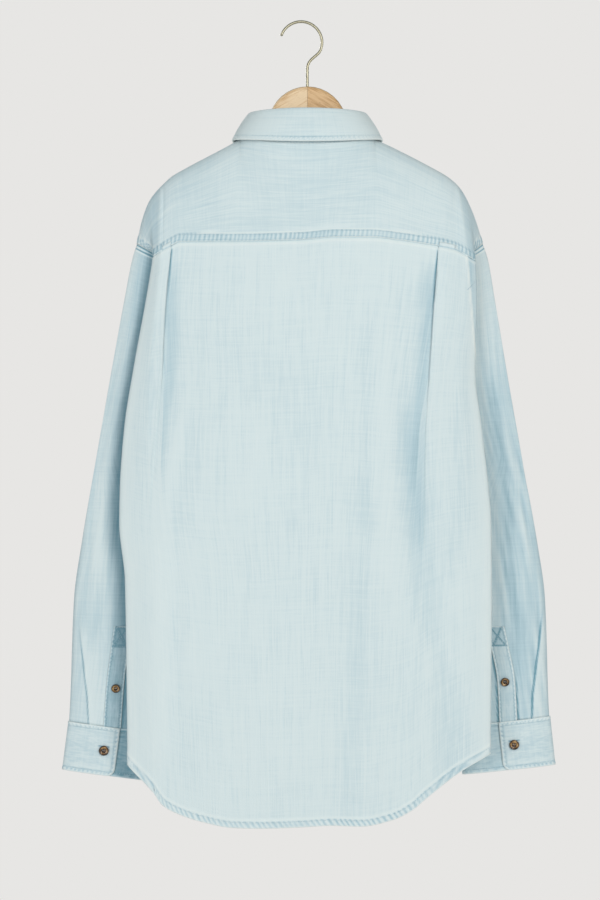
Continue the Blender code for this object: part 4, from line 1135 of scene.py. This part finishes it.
def add_sleeve(side, finish):
    """A grid round the sleeve, from the armhole and the yoke's seam down to the cuff."""
    turn = spaced((0, 0.5, 104), (0.5, 1, 50))
    row = spaced((ARMHOLE_CORNER, 277, 20), (277, SLEEVE_END, 168))[:, None]
    head = head_seam(side, turn)[1] - ARMHOLE_CORNER
    at_cuff = between(INNER["across"][-1], OUTER[hand(side)][-1], np.sin(np.pi * turn) ** 2)
    cuff = cuff_line(side, at_cuff) - SEAM_GAP - SLEEVE_END
    drawn = ease((row - CUFF_DRAW) / (SLEEVE_END - CUFF_DRAW))
    down = row + head * fall((row - ARMHOLE_CORNER) / 200) + cuff * drawn
    across, out = sleeve_section(side, turn, down)
    on_back = fall((turn - 0.42) / 0.1)
    pressed, pressed_fade = creases(across, down, SLEEVE_CREASES[side])
    from_body = across - edge_of(side, down)
    grown = ease((down - SMOOTH_ABOVE) / 60) * SLEEVE_CRUMPLE[side]
    crumples = crumpled(from_body, down) * on_back * grown
    folds = (soft_folds(across, down, SLEEVE_FOLDS[side]) + pressed) * on_back + crumples
    # painted shade: each sleeve darker all over as it hangs behind the body, and the left one darkest in the
    # body's shadow beside it
    reach, all_over, in_body_shadow = SLEEVE_SHADE[side]
    hidden = fall((from_body + 6) / reach)
    shaded = all_over * between(0.3, 1, ease((down - SMOOTH_ABOVE) / 160))
    # painted light and shade on the folds and wrinkles: crowns paler, hollows darker
    fade = 0.5 + 0.06 * folds + 0.12 * crumples - shaded
    fade = fade + (pressed_fade - in_body_shadow * hidden) * on_back
    # a painted shadow in the slit beside the placket
    slit = placket_centre(side, down) - PLACKET_WIDTH / 2 - 1
    fade = fade - 0.6 * line(across, slit, 1) * on_back * ease((down - PLACKET_TOP) / 6)
    from_head = row - ARMHOLE_CORNER
    for at, change in HEAD_ROWS:
        fade = fade + change * line(from_head, at, 0.8)
    tucked = ease((3 - from_head) / 5)
    points = raised(place(side, across, down, out), -side * (folds - 0.6 * tucked))
    cloth("sleeve", [(points, fade)], finish, side)


def cuff_line(side, across):
    """The top edge of a cuff, which leans with it."""
    middle, down, lean, _ = CUFFS[side]
    return down - (across - middle) * lean / CUFF_HEIGHT


def cuff_point(side, along, below, out):
    """A point on the cuff's ring: along its width, below its top edge, and out from its middle."""
    middle, down, lean, centre = CUFFS[side]
    tilt = math.atan2(lean, CUFF_HEIGHT)
    across = middle + along * math.cos(tilt) + below * math.sin(tilt)
    return place(side, across, down - along * math.sin(tilt) + below * math.cos(tilt), centre + out)


def cuff_turn(along):
    """The turn in degrees at a place along the face with the button."""
    return math.degrees(math.acos(2 * along / CUFF_WIDTH))


def cuff_ring(turn, lift):
    """The cuff's ring in plan: turn in degrees, 90 at the middle of the face with the button."""
    sine, cosine = turned(turn)
    return CUFF_WIDTH / 2 * cosine, (CUFF_THICK / 2 + lift) * np.sign(sine) * np.abs(sine) ** 0.7


def add_cuff(side, finish):
    """A grid once round the wrist and over its own start, with a rounded corner by the buttonhole."""
    start, end = cuff_turn(CUFF_OVERLAP_END), cuff_turn(CUFF_UNDERLAP_END) - 360
    turn = spaced((start, 20, 34), (20, -20, 26), (-20, -160, 50), (-160, -200, 26), (-200, end, 22))
    along, out = cuff_ring(turn, np.interp(turn, (end, start), (-CUFF_LAP, CUFF_LAP)))
    below = spaced((0, 8, 11), (8, 20, 5), (20, 25, 10), (25, 47.5, 10), (47.5, CUFF_HEIGHT, 11))[:, None]
    corner = np.maximum(below - CUFF_HEIGHT + CUFF_CORNER, 0)
    recess = CUFF_CORNER - np.sqrt(CUFF_CORNER**2 - corner**2)
    near_end = (turn > 20) * fall((along - CUFF_OVERLAP_END) / 20)
    points = cuff_point(side, along + recess * near_end, below, out)
    run = run_along(points, 1)
    height, fade = edged(nearest(below, CUFF_HEIGHT - below, run, run[:, -1:] - run), run + below, CUFF_ROW)
    hole_across, hole_down = CUFF_BUTTON[0], CUFF_BUTTON[1] - BUTTONHOLE_ABOVE
    slit = line(below, hole_down, 0.7) * band(np.abs(along - hole_across), BUTTONHOLE_HALF) * (turn > 0)
    # painted shade on the lap next to the body, where the body's shadow falls
    fade = 0.43 + fade - 0.8 * slit - CUFF_SHADE[side] * ease((-turn - 178) / 8)
    points = raised(points, -side * (height - 0.4 * slit))
    rows, columns = np.arange(points.shape[0]), np.arange(points.shape[1])
    inside = (run[0] > CUFF_ROW) & (run[0] < run[0, -1] - CUFF_ROW)
    for wanted in (CUFF_ROW, CUFF_HEIGHT - CUFF_ROW):
        sew_at(points, -side, below + 0 * run, wanted, CUFF_CLOTH, inside)
    for wanted in (CUFF_ROW, run[0, -1] - CUFF_ROW):
        sew(points, -side, rows[4:-4], np.interp(wanted, run[0], columns), CUFF_CLOTH)
    cloth("cuff", [(points, fade)], finish, side, CUFF_CLOTH, True)


def placket_out(side, across, down):
    """How far out the middle of the sleeve's placket is, at a place on the sleeve's back."""
    inner, outer = read(INNER, down, "across"), read(OUTER, down, hand(side))
    turn = np.arccos(1 - 2 * (across - inner) / (outer - inner)) / (2 * np.pi)
    return sleeve_section(side, turn, down)[1] + CLOTH + SEAM_GAP


def placket_centre(side, down):
    return read(PLACKET_LINE, down, hand(side))


def add_sleeve_placket(side, finish):
    """A narrow strip up the sleeve's back from the cuff, with a box of stitches at its top."""
    share, over = spaced((0, 1, 70))[:, None], spaced((-0.5, 0.5, 22)) * PLACKET_WIDTH
    across = placket_centre(side, between(PLACKET_TOP, PLACKET_END, share)) + over
    down = between(PLACKET_TOP, cuff_line(side, across) - 2 * SEAM_GAP, share)
    points = place(side, across, down, placket_out(side, across, down))
    run = run_along(points, 0)
    height, fade = edged(nearest(run, PLACKET_WIDTH / 2 - np.abs(over)), run, PLACKET_ROW)
    half = PLACKET_WIDTH / 2 - PLACKET_ROW
    slant = (2 * run / BOX_TACK - 1) * half
    crossed = [line(over, at, 0.9) for at in (slant, -slant)]
    crossed.append(line(run, BOX_TACK, 0.8) * (np.abs(over) < half))
    tack = np.maximum.reduce(crossed) * (run < BOX_TACK + 1)
    # the placket's tone, the left one darkened as painted shade
    fade = PLACKET_FADE_AND_SHADE[side] + fade - 0.5 * tack - 0.1 * (run < BOX_TACK)
    points = raised(points, -side * (height - 0.2 * tack))
    cloth("placket", [(points, fade)], finish, side, PLACKET_CLOTH)
    last_row, last_column = points.shape[0] - 1, points.shape[1] - 1
    left, right = (last_column * (0.5 + way * half / PLACKET_WIDTH) for way in (-1, 1))
    for column in (left, right):
        sew(points, -side, np.arange(1, last_row + 1), column, PLACKET_CLOTH)
    low, high = (at * last_row / run[-1, 0] for at in (1.5, BOX_TACK))
    box = (((low, left), (low, right)), ((high, left), (high, right)))
    cross = (((low, left), (high, right)), ((low, right), (high, left)))
    for start, end in box + cross:
        sew_between(points, -side, start, end, PLACKET_CLOTH)


def collar_edge(turn):
    """The collar's lower edge, round to its points."""
    sine, cosine = turned(np.minimum(np.abs(turn), 90))
    front = np.clip((np.abs(turn) - 90) / (FALL_END - 90), 0, 1)
    across = FALL_ACROSS * sine - (FALL_ACROSS - POINT_ACROSS) * front**1.2
    down = between(FALL_DOWN_BACK, FALL_DOWN_SIDE, sine**2) + (POINT_DOWN - FALL_DOWN_SIDE) * front**1.3
    out = FALL_BACK * cosine + POINT_OUT * np.sin(front * np.pi / 2) ** 0.7
    return np.sign(turn) * across, down, out


def add_collar(finish):
    """A grid round the neck: rows over the fold's top, then down to the collar's lower edge."""
    turn = spaced((-FALL_END, FALL_END, 280))
    way = turned(turn)
    rows = [moved(ring(turn, FOLD), way, *roll) for roll in COLLAR_ROLL]
    last = rows[-1]
    for share in (0.3, 0.65, 1):
        row = [between(a, b, share) for a, b in zip(last, collar_edge(turn))]
        rows.append(moved(row, way, COLLAR_BULGE * math.sin(math.pi * share), 0))
    points = place(1, *refine(np.array(rows), 46).transpose(1, 0, 2))
    fallen, run = run_along(points, 0), run_along(points, 1)
    height, fade = edged(nearest(fallen[-1:] - fallen, run, run[:, -1:] - run), run, COLLAR_ROW)
    # painted light: the collar paler towards its sides, where it turns away from the light
    fade = 0.48 + fade + 0.22 * (1 - way[1]) * (np.abs(turn) < 90)
    points = raised(points, -height)
    inside = (run[-1] > COLLAR_ROW) & (run[-1] < run[-1, -1] - COLLAR_ROW)
    sew_at(points, -1, fallen - fallen[-1:], -COLLAR_ROW, COLLAR_CLOTH, inside)
    cloth("collar", [(points, fade)], finish, None, COLLAR_CLOTH, True)


def add_collar_stand(finish):
    """A grid round the neck from its seam up to just under the collar's fold, its ends lapped in front."""
    end = 180 + STAND_OVERLAP
    turn = spaced((-end, end, 240))
    way = turned(turn)
    lap = STAND_LAP * (ease((turn - 140) / 30) - ease((-turn - 140) / 30))
    low = moved(ring(turn, NECK), way, lap - STAND_BEHIND, STAND_BEHIND)
    high = moved(ring(turn, FOLD), way, lap - STAND_INSET, STAND_BELOW_FOLD)
    corner = ease((np.abs(turn) - end + 8) / 8) * 0.3
    share = spaced((0, 1, 22))[:, None] * (1 - corner)
    points = place(1, *(between(a, b, share) for a, b in zip(low, high)))
    run, risen = run_along(points, 1), run_along(points, 0)
    height, fade = edged(nearest(risen, risen[-1:] - risen, run, run[:, -1:] - run), run, STAND_ROW)
    points = raised(points, height)
    sew_at(points, 1, risen, STAND_ROW, STAND_CLOTH, slice(4, -4))
    cloth("stand", [(points, fade + 0.5)], finish, None, STAND_CLOTH, True)


# ---------------------------------------------------------------- buttons, hook and glue


def closed_grid(name, points, finish, fade=None, smooth=True):
    """A piece that a grid closes up on itself."""
    return joined(mesh_object(name, points, grid_faces(points), finish, fade, smooth=smooth))


def facing_of(side, surface, across, down):
    """The way a piece of cloth faces, from how far out it is 1 mm beside a place."""
    slope_across = (surface(across + 1, down) - surface(across - 1, down)) / 2
    slope_down = (surface(across, down + 1) - surface(across, down - 1)) / 2
    return unit(np.array([-side * slope_across, 1, slope_down], float))


def add_button(name, point, facing, diameter, finish):
    """A turned button: a rim, a dished face, four holes and a tapered side, by radius and angle round it."""
    radius, under = spaced((0, 1, 30))[:, None], spaced((0, 1, 5))[1:, None]
    angle = spaced((0, 2 * np.pi, 44))
    reach = np.concatenate([radius, 1 - 0.12 * ease(under), [[0]]]) * diameter / 2
    x, y = reach * np.cos(angle), reach * np.sin(angle)
    face = 0.72 - 0.1 * (1 - (radius / 0.68) ** 2)
    rim = 0.72 + 0.28 * np.sin(np.clip((radius - 0.66) / 0.34, 0, 1) * np.pi / 1.35)
    height = np.where(radius < 0.66, face, rim) * BUTTON_THICK
    for hole_x, hole_y in ((1, 1), (-1, 1), (-1, -1), (1, -1)):
        away = np.hypot(x - hole_x * HOLE_AWAY, y - hole_y * HOLE_AWAY)[: len(radius)]
        height = height - 1.3 * fall((away - 0.55) / 0.35)
    z = np.concatenate([height, height[-1:] * (1 - under), 0 * height[-1:]])
    from_middle = 2 * np.hypot(x, y) / diameter
    fade = 0.65 * line(from_middle, 0.62, 0.17) + 0.6 * line(from_middle, 0, 0.25) - 0.25
    axis = np.asarray(facing, float)
    one = unit(np.cross(axis, (0, 0, 1)))
    other = np.cross(axis, one)
    points = point + MM * (x[..., None] * one + y[..., None] * other + z[..., None] * axis)
    made = closed_grid(name + "_turned", points, finish, fade)
    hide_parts(name)
    for way in (one, -one):
        start, end = (point + MM * (HOLE_AWAY * (way + across) + axis * 2) for across in (other, -other))
        SEWN.append((np.linspace(start, end, 4), np.repeat(axis[None], 4, axis=0)))


def add_buttons(finish):
    """Six down the front, one on the stand, and one on each cuff and each sleeve's placket."""

    def over_front(across, down):
        return front_out(across, LEFT, down) - LAP_OVER - CLOTH / 2

    def over_placket(across, down):
        return placket_out(side, across, down) + PLACKET_CLOTH / 2

    for index in range(FRONT_BUTTONS):
        down = FRONT_BUTTONS_FROM + FRONT_BUTTONS_PITCH * index
        facing = -facing_of(LEFT, over_front, 0, down)
        point = place(LEFT, 0, down, over_front(0, down)) + facing * BUTTON_LIFT * MM
        add_button(f"button_front_{index + 1}", point, facing, SHIRT_BUTTON, finish)
    (_, low_down, low_out), (_, high_down, high_out) = ring(180, NECK), ring(180, FOLD)
    low_down, high_down = low_down - STAND_CLEAR, high_down + STAND_BELOW_FOLD
    low_out, high_out = low_out - STAND_LAP, high_out - STAND_LAP + STAND_INSET
    facing = unit(np.array([0, high_down - low_down, high_out - low_out], float))
    middle = place(1, 0, (low_down + high_down) / 2, (low_out + high_out) / 2)
    point = middle + facing * (STAND_CLOTH / 2 + BUTTON_LIFT) * MM
    add_button("button_stand", point, facing, SHIRT_BUTTON, finish)
    for side in (LEFT, RIGHT):
        down, across = PLACKET_BUTTONS[side]
        facing = facing_of(side, over_placket, across, down)
        point = place(side, across, down, over_placket(across, down)) + facing * BUTTON_LIFT * MM
        add_button("button_placket_" + hand(side), point, facing, PLACKET_BUTTON, finish)
        along, below = CUFF_BUTTON
        out = cuff_ring(cuff_turn(along), CUFF_LAP * 0.9)[1] + CUFF_CLOTH / 2 + BUTTON_LIFT
        point = cuff_point(side, along, below, out)
        add_button("button_cuff_" + hand(side), point, (0, 1, 0), SHIRT_BUTTON, finish)


def hook_route():
    """The wire's middle, from its free end over the top and down the shank: across and down."""
    sine, cosine = turned(np.linspace(18, 200, 17))
    across, down = LOOP_ACROSS + LOOP_RADIUS * cosine, LOOP_RADIUS * (1 - sine) - WIRE / 2
    loop = np.stack([across, down], axis=-1)
    # a cubic curve from the loop's end into the shank, led by the ways that both run
    start, lead = loop[-1], loop[-1] + 8 * np.array((0.342, 0.94))
    into, end = np.array((0, 40)), np.array((0, 52))
    t = np.linspace(0, 1, 7)[1:, None]
    bend = (1 - t) ** 3 * start + 3 * t * (1 - t) ** 2 * lead + 3 * t * t * (1 - t) * into + t**3 * end
    return np.concatenate([loop, bend, [(0, 67), (0, 82), (0, HOOK_FOOT)]])


def add_hook(finish):
    """A round wire swept along the hook's route, rounded off at both ends."""
    route = refine(hook_route(), 190)
    middle = place(1, route[:, 0], route[:, 1], 0)
    ahead = unit(np.gradient(middle, axis=0))
    cap = np.linspace(0, np.pi / 2, 6)[:, None]
    straight = np.zeros((len(route) - 4, 1))
    at = np.concatenate([np.full(6, 0), np.arange(2, len(route) - 2), np.full(6, -1)])
    shift = np.concatenate([1 - np.cos(cap), straight, np.cos(cap[::-1]) - 1])
    size = np.concatenate([np.sin(cap), straight + 1, np.sin(cap[::-1])])
    path = middle[at] + ahead[at] * shift * WIRE / 2 * MM
    over = np.cross(ahead, (0, 1, 0))[at]
    sine, cosine = turned(np.linspace(0, 360, 21)[:, None])
    points = path[:, None] + (cosine * over[:, None] + sine * (0, 1, 0)) * size[:, None] * WIRE / 2 * MM
    made = closed_grid("hook_wire", points, finish)
    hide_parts("hook")


def add_glue(half, finish):
    """Fills the joint between the hanger's halves: a slice like the half's end, smaller and a gap thick."""
    corners = np.empty(3 * len(half.data.vertices), np.float32)
    half.data.vertices.foreach_get("co", corners)
    corners = corners.reshape(-1, 3).astype(float)
    end = corners[corners[:, 0] < corners[:, 0].min() + 0.01 * MM]
    centre = end.mean(axis=0)
    reach = end - centre
    reach = reach[np.argsort(np.arctan2(reach[:, 2], reach[:, 1]))]
    reach = np.concatenate([reach, reach[:1]]) * (1 - GLUE_SUNK / np.abs(reach).max() * MM)
    gap = np.array((SEAM_GAP * MM, 0, 0))
    points = centre + np.stack([0 * reach, reach, reach - gap, 0 * reach - gap])
    closed_grid("hanger_glue", points, finish, smooth=False)


# ---------------------------------------------------------------- the scene


def add_floor():
    """A round of matt paper on the ground, pale grey with faint broad unevenness."""
    tree, place_in, ended = new_material("Matt studio paper")
    uneven = node(tree, "TexNoise", Vector=place_in, Scale=3)
    colour = node(tree, "ValToRGB", {"stops": ((0.3, "#D3D2D0"), (0.7, "#D9D8D6"))}, Fac=uneven)
    sine, cosine = turned(np.linspace(0, 360, 73)[:-1])
    points = np.stack([FLOOR_RADIUS * cosine, FLOOR_RADIUS * sine, 0 * sine + FLOOR_HEIGHT], axis=-1)
    mesh = bpy.data.meshes.new("floor")
    mesh.from_pydata(points, [], [list(range(len(points)))])
    mesh.materials.append(ended(Base_Color=colour, Roughness=0.95))
    linked("floor", mesh)


def light_and_frame():
    """A pale room, a large soft lamp on the right and a weaker one on the left, and a camera straight behind.

    The same two lamps stand in front too."""
    world = bpy.data.worlds.new("Studio")
    world.use_nodes = True
    tree = world.node_tree
    backdrop = tree.nodes["Background"]
    feed(tree, backdrop, {"Color": linear("#E7E6E4")})
    room = node(tree, "Background", Color=linear("#DCE8EA"), Strength=ROOM_LIGHT)
    seen = node(tree, "LightPath", gives="Is Camera Ray")
    mixed = node(tree, "MixShader", _0=seen, _1=room, _2=backdrop.outputs[0])
    feed(tree, tree.nodes["World Output"], {"Surface": mixed})
    scene = bpy.context.scene
    scene.world = world
    scene.view_settings.view_transform = "Standard"
    scene.view_settings.look = "None"
    lamps = (
        ("key", (-1.3, 3.2, 0.15), 1.5, KEY_POWER, "#FFFDFA"),
        ("front key", (1.6, -3.2, 0.5), 1.5, KEY_POWER, "#FFFDFA"),
        ("front fill", (-1.9, -3, -0.2), 2, FILL_POWER, "#FBFDFF"),
        ("fill", (1.7, 3.2, -0.4), 2, FILL_POWER, "#FBFDFF"),
    )
    for name, where, size, power, code in lamps:
        lamp = bpy.data.lights.new(name, "AREA")
        lamp.shape, lamp.size, lamp.energy, lamp.color = "DISK", size, power, linear(code)[:3]
        made = linked(name, lamp)
        made.location = where
        made.rotation_euler = (Vector((0, 0, -0.5)) - Vector(where)).to_track_quat("-Z", "Y").to_euler()
    camera = linked("camera", bpy.data.cameras.new("camera"))
    camera.data.lens, camera.data.sensor_width = 99, 36
    camera.location = (0.0012, 2.8, -0.483)
    camera.rotation_euler = (math.pi / 2, 0, math.pi)
    scene.camera = camera


def main():
    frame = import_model()
    denim = denim_material("Washed cotton denim", 0)
    worn = denim_material("Washed cotton denim over stiffening", 0.3)
    thread = thread_material("Washed topstitching thread")
    horn = button_material("Polished tortoiseshell resin")
    pale = wood_material("Lacquered beech", "#F1D3AC", "#D8AE7C", "#B08352", -0.5)
    warm = wood_material("Steamed beech", "#E2BA89", "#C0925E", "#8F6238", 0.5)
    nickel = nickel_material("Nickel-plated steel wire")
    add_back(denim)
    add_yoke(denim)
    add_collar(denim)
    add_collar_stand(worn)
    for side in (LEFT, RIGHT):
        add_front(side, denim)
        add_sleeve(side, denim)
        add_cuff(side, worn)
        add_sleeve_placket(side, worn)
    add_buttons(horn)
    stitches("topstitching", thread)
    add_hook(nickel)
    frame["nodes"]["hanger_left"].material_slots[0].material = pale
    frame["nodes"]["hanger_right"].material_slots[0].material = warm
    add_glue(frame["nodes"]["hanger_left"], warm)
    add_floor()
    light_and_frame()


main()
